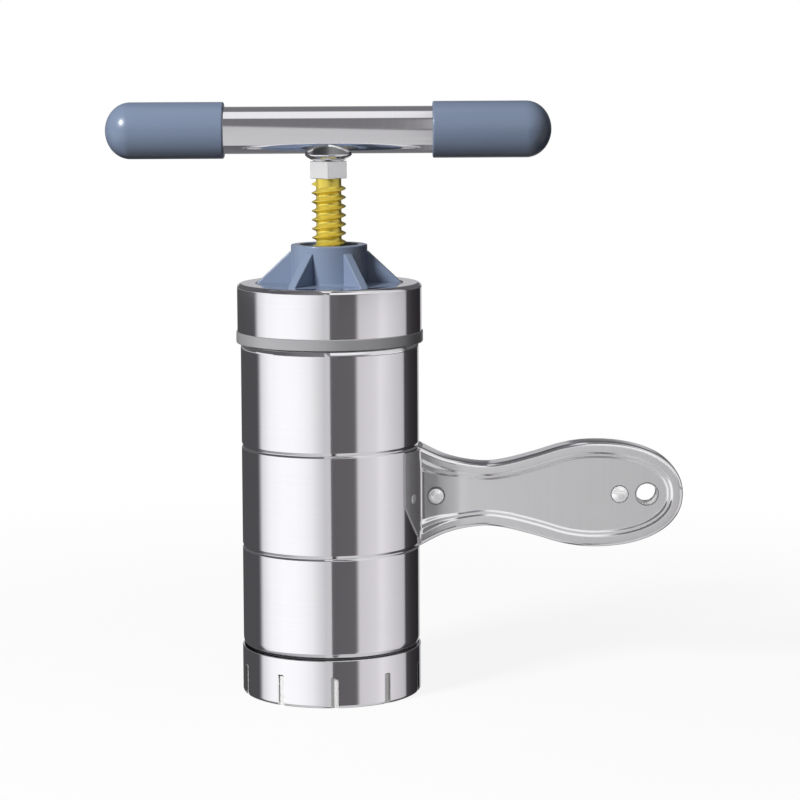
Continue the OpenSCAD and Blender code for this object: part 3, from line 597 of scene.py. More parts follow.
def handle_half(name, side):
    """One stamped half; side is -1 for the front and 1 for the back."""
    verts, faces = stitched(*all_rows())
    verts = [(x, -side * y, z + HANDLE_Z) for x, y, z in verts]
    piece = new_piece(name, verts, faces if side < 0 else [f[::-1] for f in faces])
    sheet = bmesh.new()
    sheet.from_mesh(piece.data)
    bmesh.ops.remove_doubles(sheet, verts=sheet.verts, dist=2 * JOIN_WITHIN * MM)
    bmesh.ops.recalc_face_normals(sheet, faces=sheet.faces)
    if sum(f.normal.y * f.calc_area() for f in sheet.faces) * side < 0:
        bmesh.ops.reverse_faces(sheet, faces=sheet.faces)
    sheet.to_mesh(piece.data)
    sheet.free()
    thickness = piece.modifiers.new("sheet", "SOLIDIFY")
    thickness.thickness = SHELL * MM
    thickness.offset = -1
    thickness.use_even_offset = True
    return piece


def through_handle(x, side=1):
    """A point function for a piece turned round an axis square to the handle at x."""
    return lambda r, angle, z: (x + r * math.cos(angle), side * z, HANDLE_Z + r * math.sin(angle))


satin_steel = grained("satin steel", (0.75, 0.742, 0.752), 0.45, 0.24, (700, 700, 12),
                      rough_spread=0.04, shade_spread=0.05, bump=0.12)
tongue_shade_steel = grained("tongue shade steel", (0.5, 0.495, 0.505), 0.6, 0.34, (20, 20, 300), rough_spread=0.04)
edge_steel = grained("edge steel", (0.88, 0.875, 0.885), 1.0, 0.13, (40, 40, 40), bump=0.03)
hole_steel = grained("hole steel", (0.9, 0.9, 0.9), 0.2, 0.3, (200, 200, 200))
for half_name, half_side, half_node in (("handle_front", -1, "handle_front_shell"),
                                        ("handle_back", 1, "handle_back_shell")):
    half = handle_half(half_name, half_side)
    hole = joined("hole", [prism(arc(HANG_X, HANDLE_Z, HANG_R, 0, 360, 96)[:-1], -HANDLE_W, HANDLE_W,
                                 lambda u, v, w: (u, w, v))])
    without(half, hole)
    finished(half, "barrel", satin_steel, "satin_steel", half_node, angle=30)
    # The tongues, wrapped round the barrel, get a darker steel: painted shade
    half.data.materials.append(tongue_shade_steel)
    half.data.materials.append(edge_steel)
    half.visible_glossy = False
    for face in half.data.polygons:
        if math.hypot(face.center.x, face.center.y) < (TONGUE_R + 0.1) * MM:
            face.material_index = 1
        elif abs(face.normal.y) < math.cos(math.radians(EDGE_TILT)):
            face.material_index = 2
    rows = [(HANG_R, 0.03), (HANG_R, HANG_DEPTH - HANG_EDGE), (HANG_R + HANG_EDGE, HANG_DEPTH),
            (HANG_R + HANG_WALL, HANG_DEPTH), (HANG_R + HANG_WALL, 0.03)]
    wall = turned(half_name + "_hole", rows, steps=96, point=through_handle(HANG_X, half_side))
    finished(wall, "barrel", hole_steel, "satin_steel", half_node)
    wall.visible_glossy = False


# Rivets and welds
# Peened steel rivets clamp the two halves near the barrel and near the hanging hole. A
# shallow weld nugget on each tongue fixes the handle to the barrel.

HEAD_H, SHANK_R, SEAT_EDGE, HEAD_SHADE_RIM = 1.1, 1.5, 0.15, 0.12
WELD_TURN, WELD_R, WELD_H = 24.6, 1.6, 0.2

bright_steel = grained("bright steel", (0.93, 0.925, 0.93), 1.0, 0.12, (250, 250, 250),
                       rough_spread=0.03, bump=0.1, depth=0.02)
peened_steel = grained("peened steel", (0.97, 0.965, 0.97), 0.45, 0.22, (900, 900, 900),
                       rough_spread=0.08, bump=1.0, depth=0.3)
for rivet_name, rivet_x, seat, seat_r, head_r, foot in (
        ("root_rivet", 35.6, 6.6, 3.0, 2.65, 4.7), ("tip_rivet", 97.6, 4.5, 3.1, 2.9, 4.3)):
    head = arc(0, seat, head_r, 0, 90, 12, HEAD_H / head_r)
    half_rows = [(SHANK_R, 0.0), (SHANK_R, foot), (seat_r, foot), (seat_r, seat - SEAT_EDGE),
                 (seat_r - SEAT_EDGE, seat), (head_r, seat)] + head[1:-1]
    rows = ([(0, seat + HEAD_H)] + half_rows[::-1] + [(r, -z) for r, z in half_rows[1:]]
            + [(0, -seat - HEAD_H)])
    rivet = turned(rivet_name + "_look", rows, steps=64, point=through_handle(rivet_x, -1))
    finished(rivet, "barrel", peened_steel, "bright_steel", rivet_name, angle=50)
    rivet.data.materials.append(painted_shade_steel)
    # The head's outer edge and its seat get the dark steel: painted shade where the rivet meets the sheet
    for face in rivet.data.polygons:
        out = math.hypot(face.center.x - rivet_x * MM, face.center.z - HANDLE_Z * MM)
        face.material_index = int(out > (head_r - HEAD_SHADE_RIM) * MM)
    rivet.visible_glossy = False
    rivet.visible_shadow = False


def on_tongue(side, turn):
    """A point function for a piece that leaves the barrel squarely at an angle."""
    c, s = math.cos(turn), math.sin(turn)
    return lambda r, a, z: (z * c - r * math.cos(a) * s, side * (z * s + r * math.cos(a) * c),
                            HANDLE_Z + r * math.sin(a))


for weld_name, weld_side in (("front_weld", -1), ("back_weld", 1)):
    rows = ([(0, TONGUE_R + WELD_H)] + arc(0, TONGUE_R, WELD_R, 90, 0, 8, 0.12)[1:]
            + [(WELD_R, BARREL_R + 0.1), (0, BARREL_R + 0.1)])
    weld = turned(weld_name, rows, steps=48, point=on_tongue(weld_side, math.radians(WELD_TURN)))
    finished(weld, "barrel", peened_steel, "plain_steel", "spot_welds")


# Lid
# The blue-grey moulded lid: skirt with an inside thread, flat plate, hub with a round mouth
# and six ribs. A hexagon pocket under the hub holds the nut that the spindle runs in.

LID_Z, LID_PLATE_Z, LID_TOP, HUB_TOP = 119.2, 135.2, 138.5, 152.0
SKIRT_Z, SKIRT_R, SKIRT_IN_R = 123.05, 30.47, 29.7
SLEEVE_TOP, FLANGE_IN_R = 139.1, 24.85
HUB_R, MOUTH_R, NUT_TOP, POCKET_R = 12.85, 9.85, 146.0, 9.7
RIBS, RIB_T, RIB_TOP, RIB_ROUND, RIB_SINK = 6, 3.0, 149.6, 0.35, 1.2
RIB_FOOT_R = FLANGE_IN_R - 0.65
SKIRT_ROUND, HUB_ROUND, HUB_FOOT_ROUND, MOUTH_ROUND, PLATE_ROUND = 0.95, 0.45, 0.5, 0.3, 0.3
LID_THREAD_START, LID_THREAD_TURNS = 124.0, 2.5


def linear(code):
    """The linear colour of a hex code such as 8090a0."""
    parts = [int(code[i:i + 2], 16) / 255 for i in (0, 2, 4)]
    return tuple(c / 12.92 if c <= 0.04045 else ((c + 0.055) / 1.055) ** 2.4 for c in parts)


blue_plastic = grained("blue plastic", linear("7d8ba3"), 0.0, 0.3, (250, 250, 250),
                       rough_spread=0.05, shade_spread=0.03, bump=0.06)
lid_thread = wound_rib(LID_THREAD_START, LID_THREAD_TURNS, -RIM_THREAD_H, INNER_THREAD_HALF)
rows = ([(SKIRT_IN_R, SKIRT_Z), (SKIRT_R, SKIRT_Z)]
        + arc(SKIRT_R - SKIRT_ROUND, LID_TOP - SKIRT_ROUND, SKIRT_ROUND, 0, 90, 6)
        + [(FLANGE_IN_R - 0.2, LID_TOP + 0.01)]
        + arc(FLANGE_IN_R - 0.5, SLEEVE_TOP - PLATE_ROUND, PLATE_ROUND, 0, 90, 4)
        + arc(HUB_R + HUB_FOOT_ROUND, SLEEVE_TOP + HUB_FOOT_ROUND, HUB_FOOT_ROUND, 270, 180, 5)
        + arc(HUB_R - HUB_ROUND, HUB_TOP - HUB_ROUND, HUB_ROUND, 0, 90, 6)
        + arc(MOUTH_R + MOUTH_ROUND, HUB_TOP - MOUTH_ROUND, MOUTH_ROUND, 90, 180, 4)
        + [(MOUTH_R, NUT_TOP), (0, NUT_TOP), (0, LID_PLATE_Z)]
        + [(SKIRT_IN_R - PLATE_ROUND, LID_PLATE_Z)]
        + [(SKIRT_IN_R, LID_PLATE_Z - PLATE_ROUND - WALL_ROW * i) for i in range(60)])
lid_body = turned("lid_body", rows, ripple=threaded_bore(SKIRT_IN_R, lid_thread))
pocket = joined("pocket", [prism(arc(0, 0, POCKET_R, 0, 300, 5), LID_PLATE_Z - OVERRUN,
                                 NUT_TOP + OVERRUN, lambda u, v, w: (u, v, w))])
without(outwards(lid_body), pocket)
finished(lid_body, "lid", blue_plastic, "blue_plastic", "lid_cap", angle=32)


def rib(turn):
    """One rib with softly rounded edges, as a piece of its own."""
    root_r, foot_z = HUB_R - RIB_SINK, LID_TOP - 0.2
    outline = [(root_r, foot_z), (RIB_FOOT_R, foot_z), (RIB_FOOT_R, SLEEVE_TOP + 0.05),
               (HUB_R + RIB_ROUND, RIB_TOP), (root_r, RIB_TOP)]
    c, s = math.cos(turn), math.sin(turn)
    piece = joined("rib", [prism(outline, -RIB_T / 2, RIB_T / 2,
                                 lambda u, v, w: (u * c - w * s, u * s + w * c, v))])
    bevel = piece.modifiers.new("rounding", "BEVEL")
    bevel.width = RIB_ROUND * MM
    bevel.segments = 3
    bevel.limit_method = "ANGLE"
    return piece


for k in range(RIBS):
    piece = rib(math.radians(360 * (k + 0.5) / RIBS - 90))
    piece.name = f"lid_rib_{k + 1}"
    finished(piece, "lid", blue_plastic, "blue_plastic", "lid_cap", angle=40)


# Lid sleeve and rim ring
# A drawn skin of polished sheet covers the lid's skirt and turns in over its plate. A matte
# ring closes the skin's lower edge.

SLEEVE_R, SLEEVE_IN_R, SLEEVE_WALL, SLEEVE_ROUND = 31.05, 30.5, 0.55, 1.5
FLANGE_EDGE = 0.15
RING_R, RING_H, RING_IN_R, RING_LIP, RING_ROUND = 31.45, 3.8, 30.3, 0.9, 0.35

foot = LID_Z + RING_LIP + 0.05
bend = (SLEEVE_R - SLEEVE_ROUND, SLEEVE_TOP - SLEEVE_ROUND)
rows = ([(SLEEVE_IN_R, foot), (SLEEVE_R, foot)] + arc(*bend, SLEEVE_ROUND, 0, 90, 16)
        + arc(FLANGE_IN_R + FLANGE_EDGE, SLEEVE_TOP - FLANGE_EDGE, FLANGE_EDGE, 90, 180, 3)
        + [(FLANGE_IN_R, SLEEVE_TOP - SLEEVE_WALL)] + arc(*bend, SLEEVE_ROUND - SLEEVE_WALL, 90, 0, 10))
sleeve = turned("lid_skin", rows)
finished(sleeve, "lid", polished_steel, "polished_steel", "lid_sleeve")

matte_metal = grained("matte metal", (0.44, 0.44, 0.45), 0.35, 0.32, (300, 300, 300),
                      rough_spread=0.05, bump=0.1)
ring_fit_r = SLEEVE_R + 0.03
rows = ([(RING_IN_R, LID_Z)] + arc(RING_R - RING_ROUND, LID_Z + RING_ROUND, RING_ROUND, -90, 0, 5)
        + arc(RING_R - RING_ROUND, LID_Z + RING_H - RING_ROUND, RING_ROUND, 0, 90, 5)
        + [(ring_fit_r, LID_Z + RING_H), (ring_fit_r, LID_Z + RING_LIP), (RING_IN_R, LID_Z + RING_LIP)])
ring = turned("lid_ring", rows)
finished(ring, "lid", matte_metal, "matte_metal", "lid_rim_ring")


# Spindle
# A zinc-plated rod with a rounded trapezoid thread. Its foot holds the bolt of the press
# plate, and its top the square neck of the handle.

ROD_Z, SHANK_TOP, THREAD_Z, NECK_Z = 46.55, 47.95, 49.2, 174.0
ROD_R, ROD_DEPTH, ROD_PITCH, ROD_TURNS = 5.75, 1.5, 3.0, 41
TURN_STEPS = 48
SOCKET_R, SOCKET_H, STUB_R, TUBE_Z = 2.7, 10.0, 3.0, 190.3
SHANK_EDGE, FOOT_EDGE, STUB_EDGE = 0.2, 0.3, 0.3


def thread_profile():
    """One pitch of the thread: (height, radius share) from root to root, with soft corners."""
    half = [(0.1, 1.0), (0.2, 0.93), (0.35, 0.72), (0.55, 0.42), (0.75, 0.17), (0.95, 0.03), (1.1, 0.0),
            (1.49, 0.0)]
    return [(-height, share) for height, share in half[::-1]] + half


def spindle_piece():
    """The whole rod: a foot with the bolt's bore, one long helix, and the stub for the tube."""
    root = ROD_R - ROD_DEPTH
    last = TURN_STEPS * ROD_TURNS
    profile = thread_profile()
    verts, faces, ring_starts = [], [], []
    for i in range(last + 1):
        angle = 2 * math.pi * i / TURN_STEPS
        for height, share in profile:
            z = THREAD_Z + height + ROD_PITCH * i / TURN_STEPS
            verts.append(upright(root + ROD_DEPTH * share, angle, z))
    width = len(profile)
    for i in range(last):
        for k in range(width - 1):
            a = width * i + k
            faces.append([a, a + width, a + width + 1, a + 1])
    for i in range(last - TURN_STEPS):
        a, b = width * i + width - 1, width * (i + TURN_STEPS)
        faces.append([a, a + width, b + width, b])
    low = [(root, SHANK_TOP), (ROD_R - SHANK_EDGE, SHANK_TOP), (ROD_R, SHANK_TOP - SHANK_EDGE),
           (ROD_R, ROD_Z + FOOT_EDGE), (ROD_R - FOOT_EDGE, ROD_Z), (SOCKET_R, ROD_Z),
           (SOCKET_R, ROD_Z + SOCKET_H)]
    high = [(root, NECK_Z), (STUB_R, NECK_Z), (STUB_R, TUBE_Z - STUB_EDGE), (STUB_R - STUB_EDGE, TUBE_Z)]
    for rings in (low, high):
        ring_starts.append(len(verts))
        for r, z in rings:
            verts += [upright(r, 2 * math.pi * j / TURN_STEPS, z) for j in range(TURN_STEPS)]
        for g in range(len(rings) - 1):
            for j in range(TURN_STEPS):
                a, k = len(verts) - TURN_STEPS * (len(rings) - g), (j + 1) % TURN_STEPS
                faces.append([a + j, a + k, a + TURN_STEPS + k, a + TURN_STEPS + j])
        faces.append([len(verts) - TURN_STEPS + j for j in range(TURN_STEPS)])
    low_ring, high_ring = ring_starts
    for j in range(TURN_STEPS - 1):
        faces.append([low_ring + j, low_ring + j + 1, width * (j + 1), width * j])
    last_turn = last - TURN_STEPS
    for j in range(1, TURN_STEPS):
        a = width * (last_turn + j) + width - 1
        faces.append([a, a + width, high_ring + (j + 1) % TURN_STEPS, high_ring + j])
    faces.append([low_ring + TURN_STEPS - 1, low_ring] + list(range(width))
                 + [width * TURN_STEPS, width * (TURN_STEPS - 1)])
    end, before = width * last, width * last_turn
    faces.append([high_ring, high_ring + 1, before + width + width - 1, before + width - 1, end]
                 + [end + k for k in range(1, width)])
    return new_piece("spindle", verts, faces)


zinc_yellow = grained("yellow zinc", (0.93, 0.75, 0.13), 0.6, 0.24, (200, 200, 200),
                      rough_spread=0.08, shade_spread=0.18, bump=0.15, smear_scale=120.0)
spindle = spindle_piece()
# The thread starts at the left, as the solid's does
spindle.data.transform(Matrix.Rotation(math.pi, 4, "Z"))
finished(spindle, "crank", zinc_yellow, "zinc_yellow", "screw_rod", angle=40)


# Neck block and saddle washer
# A bright square block stands with a corner to the front between spindle and handle. An
# eye-shaped washer on it is hollowed to the handle tube that rests in it.

NECK_SIDE, NECK_H, NECK_GAP, NECK_ROUND = 8.8, 6.0, 0.05, 0.3
TUBE_R = 7.9
SADDLE_R, SADDLE_H, SADDLE_TOP_R, SADDLE_NARROW = 7.87, 6.0, 6.6, 0.95
SADDLE_FOOT = ((0, 0), (4.9, 0), (6.2, 0.6), (7.3, 1.3), (7.75, 1.75), (7.9, 2.05))
SADDLE_BRIM, HOLLOW_SHADE_Z = 2.3, 2.4

half = NECK_SIDE / 2
block = joined("neck", [prism([(-half, -half), (half, -half), (half, half), (-half, half)],
                              NECK_Z + NECK_GAP, NECK_Z + NECK_H - NECK_GAP,
                              lambda u, v, w: ((u - v) * math.sqrt(0.5), (u + v) * math.sqrt(0.5), w))])
bevel = block.modifiers.new("rounding", "BEVEL")
bevel.width = NECK_ROUND * MM
bevel.segments = 3
pale_steel = grained("pale steel", (0.96, 0.96, 0.955), 0.85, 0.25, (250, 250, 250), rough_spread=0.03)
finished(block, "crank", pale_steel, "bright_steel", "neck_block")


def saddle_piece():
    """The washer: an oval dish whose foot is flat and whose top is hollowed to the tube."""
    low, upper_rows = NECK_Z + NECK_H, 18
    bowl = joined("bowl", [prism(arc(0, TUBE_Z, TUBE_R + NECK_GAP, 0, 360, 96)[:-1], -2 * SADDLE_R,
                                 2 * SADDLE_R, lambda u, v, w: (w, u, v))])
    rows = [(r, low + z) for r, z in SADDLE_FOOT]
    rows += [(SADDLE_R + (SADDLE_TOP_R - SADDLE_R) * i / upper_rows,
              low + SADDLE_BRIM + (SADDLE_H - SADDLE_BRIM) * i / upper_rows) for i in range(upper_rows + 1)]
    rows.append((0, low + SADDLE_H))
    washer = turned("saddle", rows, steps=96, point=lambda r, a, z:
                    (r * math.cos(a), SADDLE_NARROW * r * math.sin(a), z))
    return without(outwards(washer), bowl)


saddle = finished(saddle_piece(), "crank", bright_steel, "bright_steel", "saddle_washer")
saddle.data.materials.append(painted_shade_steel)
# The washer's upper wall, away from the tube, gets the dark steel: painted shade in its hollow
for face in saddle.data.polygons:
    out = math.hypot(face.center.y, face.center.z - TUBE_Z * MM)
    if face.center.z > (NECK_Z + NECK_H + HOLLOW_SHADE_Z) * MM and out > (TUBE_R + 0.5) * MM:
        face.material_index = 1


# Handle tube and grips
# A polished steel tube lies across the spindle's top. A domed grip of the same blue-grey
# plastic is pushed on to each end.

TUBE_IN_R, TUBE_HALF, BARE_HALF = 7.0, 63.9, 34.9
GRIP_R, GRIP_LENGTH, DOME, GRIP_DEPTH = 9.5, 39.8, 8.5, 29.2
GRIP_ROUND, GRIP_FIT, GRIP_MOUTH_ROUND = 0.6, 0.03, 0.4
TUBE_ROWS = 16


def lying(r, angle, z):
    """A point of a piece that is turned round the handle tube's axis."""
    return (z, r * math.sin(angle), TUBE_Z + r * math.cos(angle))


rows = ([(TUBE_IN_R, -TUBE_HALF)] + straight(TUBE_R, -TUBE_HALF, TUBE_HALF, TUBE_ROWS)
        + [(TUBE_IN_R, TUBE_HALF)])
polished_tube = grained("polished tube", (0.86, 0.855, 0.87), 1.0, 0.08, (700, 3, 3))
tube = turned("tube", rows, point=lying)
finished(tube, "crank", polished_tube, "polished_steel", "handle_tube")

# The grips take a darker copy of the lid's blue plastic: painted shade
shaded_grip_plastic = grained("shaded grip plastic", linear("74829a"), 0.0, 0.3, (250, 250, 250),
                       rough_spread=0.05, shade_spread=0.03, bump=0.06)
for grip_name, grip_side, grip_node in (("grip_left", -1, "left_grip"), ("grip_right", 1, "right_grip")):
    end = BARE_HALF + GRIP_LENGTH
    rows = ([(0, end)] + arc(0, end - DOME, GRIP_R, 90, 0, 22, DOME / GRIP_R)[1:]
            + [(GRIP_R, end - DOME - 6), (GRIP_R, BARE_HALF + 7)]
            + arc(GRIP_R - GRIP_ROUND, BARE_HALF + GRIP_ROUND, GRIP_ROUND, 0, -90, 6)
            + arc(TUBE_R + GRIP_FIT + GRIP_MOUTH_ROUND, BARE_HALF + GRIP_MOUTH_ROUND,
                  GRIP_MOUTH_ROUND, -90, -180, 4)
            + [(TUBE_R + GRIP_FIT, BARE_HALF + GRIP_DEPTH), (0, BARE_HALF + GRIP_DEPTH)])
    grip = turned(grip_name, rows, point=lambda r, a, z, s=grip_side: lying(r, a, s * z))
    finished(grip, "crank", shaded_grip_plastic, "blue_plastic", grip_node)


# Studio
# A white table and a white background. A tent of pale cloth with dark flags stands round
# the press: polished metal shows it, and nothing else does. Soft lamps give plain light.

def bands(tree, turn, stops):
    """A ramp over a full turn in degrees; each stop is (angle, hex colour)."""
    share = math_node(tree, "MULTIPLY_ADD", turn, 1 / 360, 0.5)
    node = add_nodes(tree, "ShaderNodeValToRGB")
    ramp = node.color_ramp
    while len(ramp.elements) > 1:
        ramp.elements.remove(ramp.elements[-1])
    for i, (angle, code) in enumerate(stops):
        element = ramp.elements[0] if i == 0 else ramp.elements.new((angle + 180) / 360)
        element.position = (angle + 180) / 360
        element.color = (*linear(code), 1)
    tree.links.new(share, node.inputs["Fac"])
    return node.outputs["Color"]


def between(tree, value, zero, one):
    """0 to 1, smoothly, as value goes from zero to one."""
    node = add_nodes(tree, "ShaderNodeMapRange", interpolation_type="SMOOTHSTEP")
    tree.links.new(value, node.inputs["Value"])
    low, high = min(zero, one), max(zero, one)
    node.inputs["From Min"].default_value = low
    node.inputs["From Max"].default_value = high
    node.inputs["To Min"].default_value = float(zero > one)
    node.inputs["To Max"].default_value = float(one > zero)
    return node.outputs["Result"]


def blended(tree, share, a, b):
    """A colour or value between a and b."""
    node = add_nodes(tree, "ShaderNodeMix", data_type="RGBA")
    for key, value in (("Factor", share), ("A", a), ("B", b)):
        socket = [i for i in node.inputs if i.name == key and i.enabled][0]
        tree.links.new(value, socket)
    return [o for o in node.outputs if o.enabled][0]


def plain(tree, code):
    """One colour of cloth all over."""
    node = add_nodes(tree, "ShaderNodeRGB")
    node.outputs[0].default_value = (*linear(code), 1)
    return node.outputs[0]


def angle_of(tree, function, *values):
    """An angle in degrees from a Math node such as ARCTAN2."""
    return math_node(tree, "DEGREES", math_node(tree, function, *values))


def seen_rays(tree):
    """1 where the camera looks, straight or by way of metal or glass."""
    rays = add_nodes(tree, "ShaderNodeLightPath")
    return math_node(tree, "MAXIMUM", rays.outputs["Is Camera Ray"], math_node(
        tree, "MAXIMUM", rays.outputs["Is Glossy Ray"], rays.outputs["Is Transmission Ray"]))


TENT_R = 4.0
bpy.ops.mesh.primitive_uv_sphere_add(segments=96, ring_count=48, radius=TENT_R, location=(0, 0, 0.1))
tent = bpy.context.object
tent.name = "tent"
for name in ("visible_camera", "visible_diffuse", "visible_transmission", "visible_shadow",
             "visible_volume_scatter"):
    setattr(tent, name, False)
cloth = bpy.data.materials.new("tent cloth")
cloth.use_nodes = True
tree = cloth.node_tree
tree.nodes.clear()
place = add_nodes(tree, "ShaderNodeTexCoord")
axes = add_nodes(tree, "ShaderNodeSeparateXYZ")
tree.links.new(place.outputs["Object"], axes.inputs[0])
front = math_node(tree, "MULTIPLY", axes.outputs["Y"], -1.0)
# Places on the tent: turn goes round the press from the front, over goes up and over it,
# rise is the height and lean the place to the right, all in degrees
turn = angle_of(tree, "ARCTAN2", axes.outputs["X"], front)
over = angle_of(tree, "ARCTAN2", axes.outputs["Z"], front)
rise = angle_of(tree, "ARCSINE", math_node(tree, "DIVIDE", axes.outputs["Z"], TENT_R))
lean = angle_of(tree, "ARCSINE", math_node(tree, "DIVIDE", axes.outputs["X"], TENT_R))
# Upright cloths and flags a little below level, which the barrel shows
round_bands = bands(tree, turn, [
    (-180, "4a4a4c"), (-108, "4c4b4e"), (-105, "616063"), (-98, "d6d5d8"), (-90, "e8e8ea"),
    (-83, "f4f4f6"), (-64, "fcfcfe"), (-46, "fbfbfd"), (-35, "f6f5f8"), (-24, "ebebed"),
    (-13.6, "d4d4d6"), (-6, "c4c2c5"), (0.4, "b0aeb1"), (1.4, "747175"), (3.5, "5d5b5e"),
    (31, "615e61"), (33.5, "706d70"), (37.5, "c9c6c9"), (60, "d3d0d4"), (69, "dfdce0"),
    (77, "d8d5d9"), (90, "cbc8cb"), (105, "bdbabe"), (110.5, "b0aeb1"), (113, "464347"),
    (127, "343134"), (151, "272427"), (158, "3a393b"), (161, "c0bfc1"), (180, "c8c7c9")])
# A strip of cloths up and over the press, which the handle's tube shows
slant = math_node(tree, "MULTIPLY", math_node(tree, "MULTIPLY_ADD", lean, 5.0, 7.5), math_node(
    tree, "MULTIPLY", between(tree, over, -60, -30), between(tree, over, 45, 35)))
over_bands = bands(tree, math_node(tree, "ADD", over, slant), [
    (-180, "808083"), (-80, "59585c"), (-76, "c9c8c9"), (-24, "c4c3c5"), (8, "c4c3c5"), (13, "747276"),
    (60, "747276"), (63, "efeef0"), (101, "efeef0"), (105, "77767a"), (154, "77767a"), (160, "b0afb2"),
    (180, "b4b3b6")])
# The tent above level, and far below
high_bands = bands(tree, turn, [
    (-180, "808084"), (-120, "58575a"), (-60, "5c5b5e"), (-44, "6c6b6e"), (-20, "727174"), (5, "727174"),
    (12, "58575a"), (28, "605f62"), (34, "b8b7b9"), (60, "d8d7d9"), (90, "d0cfd1"), (106, "c0bfc1"),
    (115, "444346"), (160, "404042"), (180, "808084")])
low_bands = bands(tree, turn, [
    (-180, "3c3b3e"), (-126, "4a494c"), (-112, "8a898c"), (-60, "b0afb1"), (80, "c8c7c9"), (95, "a0a0a2"),
    (110, "4a494c"), (180, "3c3b3e")])
# What the side handle's edges, the lid's flange and the spindle show
edge_bands = bands(tree, rise, [
    (-90, "b8b7b9"), (-76, "b0afb1"), (-70, "3c3b3e"), (-52, "3c3b3e"), (-44, "8e8d90"), (-30, "78777a"),
    (-17, "5a595c"), (2, "706f72"), (5, "8a898c"), (9, "e8e8ea"), (50, "f4f4f6"), (56, "5c5b5e"),
    (90, "504f52")])
back_bands = bands(tree, rise, [
    (-90, "303032"), (2, "b4b3b6"), (5, "c6c5c8"), (6.2, "b0afb2"), (7.2, "5c5b5e"), (90, "666568")])
rod_bands = bands(tree, turn, [
    (-180, "6a6a6c"), (-120, "b0b0b2"), (-90, "f4f4f6"), (-10, "f0f0f2"), (-2, "6a696c"), (6, "2c2b2e"),
    (100, "2c2b2e"), (140, "2c2b2e"), (180, "6a6a6c")])
# Where each cloth hangs, and then all of them laid over one another, the last one in front
aside = math_node(tree, "ABSOLUTE", turn)
in_back = math_node(tree, "MULTIPLY", between(tree, aside, 112, 125), between(tree, rise, 0, 2))
in_neck = math_node(tree, "MULTIPLY", between(tree, rise, 1.5, 0), between(
    tree, math_node(tree, "ABSOLUTE", math_node(tree, "SUBTRACT", aside, 92)), 18, 14))
in_tube = math_node(tree, "MULTIPLY", between(tree, lean, -6.0, -4.8), between(tree, lean, 1.7, 1.2))
in_handle = math_node(tree, "MULTIPLY", between(tree, lean, 1.1, 1.8), math_node(
    tree, "MAXIMUM", math_node(tree, "MULTIPLY", between(tree, turn, 60, 40), between(tree, rise, -2, 0)),
    between(tree, turn, 14, 9)))
beyond = blended(tree, in_neck, high_bands, plain(tree, "f4f4f6"))
beyond = blended(tree, between(tree, rise, -1.9, -2.1), beyond, rod_bands)
beyond = blended(tree, between(tree, rise, -8, -12), beyond, low_bands)
beyond = blended(tree, in_back, beyond, blended(
    tree, between(tree, aside, 158, 168), plain(tree, "5c5b5e"), back_bands))
beyond = blended(tree, between(tree, rise, -52, -58), beyond, plain(tree, "c8c7c9"))
beyond = blended(tree, in_handle, beyond, edge_bands)
beyond = blended(tree, in_tube, beyond, over_bands)
level = math_node(tree, "MULTIPLY", math_node(tree, "SUBTRACT", 1.0, in_tube), math_node(
    tree, "MULTIPLY", between(tree, rise, -3.9, -4.7), between(tree, rise, -34, -30)))
cover = blended(tree, level, beyond, round_bands)
glow = add_nodes(tree, "ShaderNodeEmission", Strength=1.1)
surface = add_nodes(tree, "ShaderNodeOutputMaterial")
tree.links.new(cover, glow.inputs["Color"])
tree.links.new(glow.outputs[0], surface.inputs["Surface"])
tent.data.materials.append(cloth)

world = bpy.data.worlds.new("studio")
bpy.context.scene.world = world
world.use_nodes = True
tree = world.node_tree
tree.nodes.clear()
soft = add_nodes(tree, "ShaderNodeBackground", Color=(1, 1, 1, 1), Strength=0.08)
white = add_nodes(tree, "ShaderNodeBackground", Color=(1, 1, 1, 1), Strength=1.0)
both = add_nodes(tree, "ShaderNodeMixShader")
out = add_nodes(tree, "ShaderNodeOutputWorld")
tree.links.new(seen_rays(tree), both.inputs[0])
tree.links.new(soft.outputs[0], both.inputs[1])
tree.links.new(white.outputs[0], both.inputs[2])
tree.links.new(both.outputs[0], out.inputs["Surface"])

# The table keeps the press's shadow near it and turns plain white between two distances
TABLE_R, TABLE_FADE = 0.6, (0.1, 0.45)
bpy.ops.mesh.primitive_circle_add(vertices=128, radius=TABLE_R, fill_type="NGON")
table = bpy.context.object
table.name = "table"
table.visible_glossy = False
table.visible_diffuse = False
paper = bpy.data.materials.new("white table")
paper.use_nodes = True
tree = paper.node_tree
surface = tree.nodes["Principled BSDF"]
surface.inputs["Roughness"].default_value = 0.9
surface.inputs["Base Color"].default_value = (0.9, 0.9, 0.9, 1)
place = add_nodes(tree, "ShaderNodeTexCoord")
reach = add_nodes(tree, "ShaderNodeVectorMath", operation="LENGTH")
tree.links.new(place.outputs["Object"], reach.inputs[0])
edge = add_nodes(tree, "ShaderNodeMapRange", interpolation_type="SMOOTHSTEP", From_Min=TABLE_FADE[0],
                 From_Max=TABLE_FADE[1], To_Min=0.88)
tree.links.new(reach.outputs["Value"], edge.inputs["Value"])
share = math_node(tree, "MULTIPLY", seen_rays(tree), edge.outputs["Result"])
white = add_nodes(tree, "ShaderNodeEmission", Strength=1.0)
both = add_nodes(tree, "ShaderNodeMixShader")
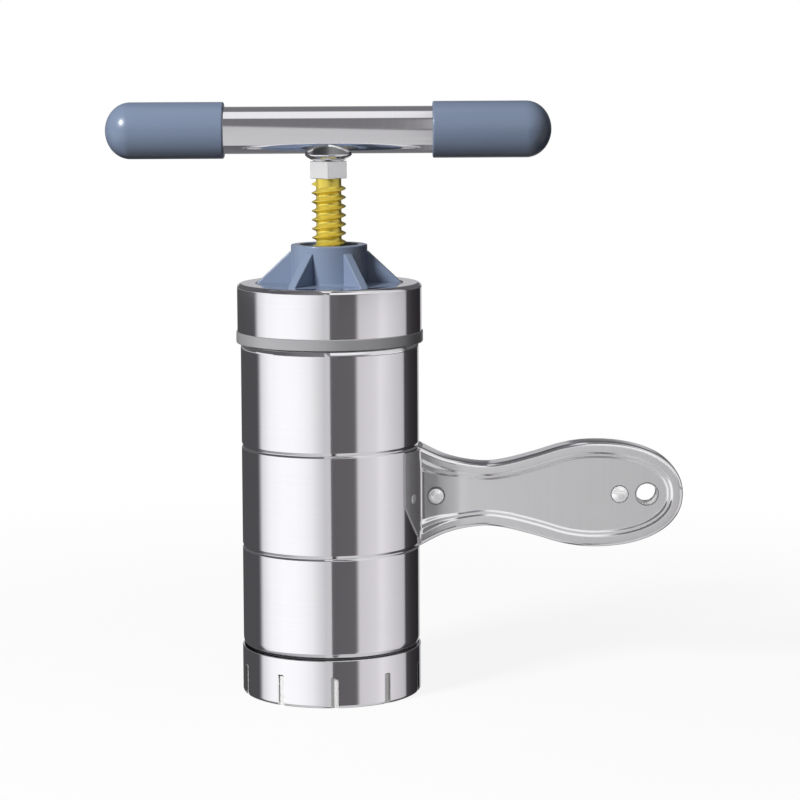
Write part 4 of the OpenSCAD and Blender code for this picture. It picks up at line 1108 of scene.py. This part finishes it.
tree.links.new(share, both.inputs[0])
tree.links.new(surface.outputs[0], both.inputs[1])
tree.links.new(white.outputs[0], both.inputs[2])
tree.links.new(both.outputs[0], tree.nodes["Material Output"].inputs["Surface"])
table.data.materials.append(paper)


AIM = Vector((0, 0, 0.11))


def lamp(name, place, size, power):
    """A soft square lamp that looks at the press and isn't seen in its metal."""
    light = bpy.data.lights.new(name, "AREA")
    light.size = size
    light.energy = power
    holder = bpy.data.objects.new(name, light)
    bpy.context.scene.collection.objects.link(holder)
    holder.location = place
    holder.rotation_euler = (AIM - Vector(place)).to_track_quat("-Z", "Y").to_euler()
    holder.visible_glossy = False
    return holder


lamp("key", (-0.70, -0.74, 0.66), 0.26, 15.5)
lamp("top", (-0.1, -0.1, 1.3), 0.6, 2.5)
gloss = lamp("plastic gloss", (-0.69, -0.58, 0.73), 0.16, 12.0)
gloss.visible_glossy = True
gloss.visible_diffuse = False
fill = lamp("fill", (0.6, -0.95, 0.3), 0.4, 3.3)
plastics = (blue_plastic, shaded_grip_plastic)
satins = (satin_steel, white_plastic, peened_steel, hole_steel, tongue_shade_steel)
for holder, materials in ((gloss, plastics), (fill, satins)):
    lit = bpy.data.collections.new(holder.name)
    for piece in bpy.data.objects:
        if piece.type == "MESH" and any(slot.material in materials for slot in piece.material_slots):
            lit.objects.link(piece)
    holder.light_linking.receiver_collection = lit


# Camera
# A long lens stands in front of the press, a little to the right and higher than its top,
# and looks slightly down at it.

EYE = (0.0243, -0.9438, 0.2243)
TILT, ROLL = 6, 0.28
camera_data = bpy.data.cameras.new("camera")
camera_data.sensor_width = 36
camera_data.lens = 126.7
camera_data.shift_x = -0.0004
camera_data.shift_y = -0.0959
camera_data.clip_start = 0.05
camera_data.clip_end = 20
camera = bpy.data.objects.new("camera", camera_data)
bpy.context.scene.collection.objects.link(camera)
camera.location = EYE
camera.rotation_euler = (math.radians(90 - TILT), math.radians(ROLL), 0)
bpy.context.scene.camera = camera
bpy.context.scene.view_settings.view_transform = "Standard"
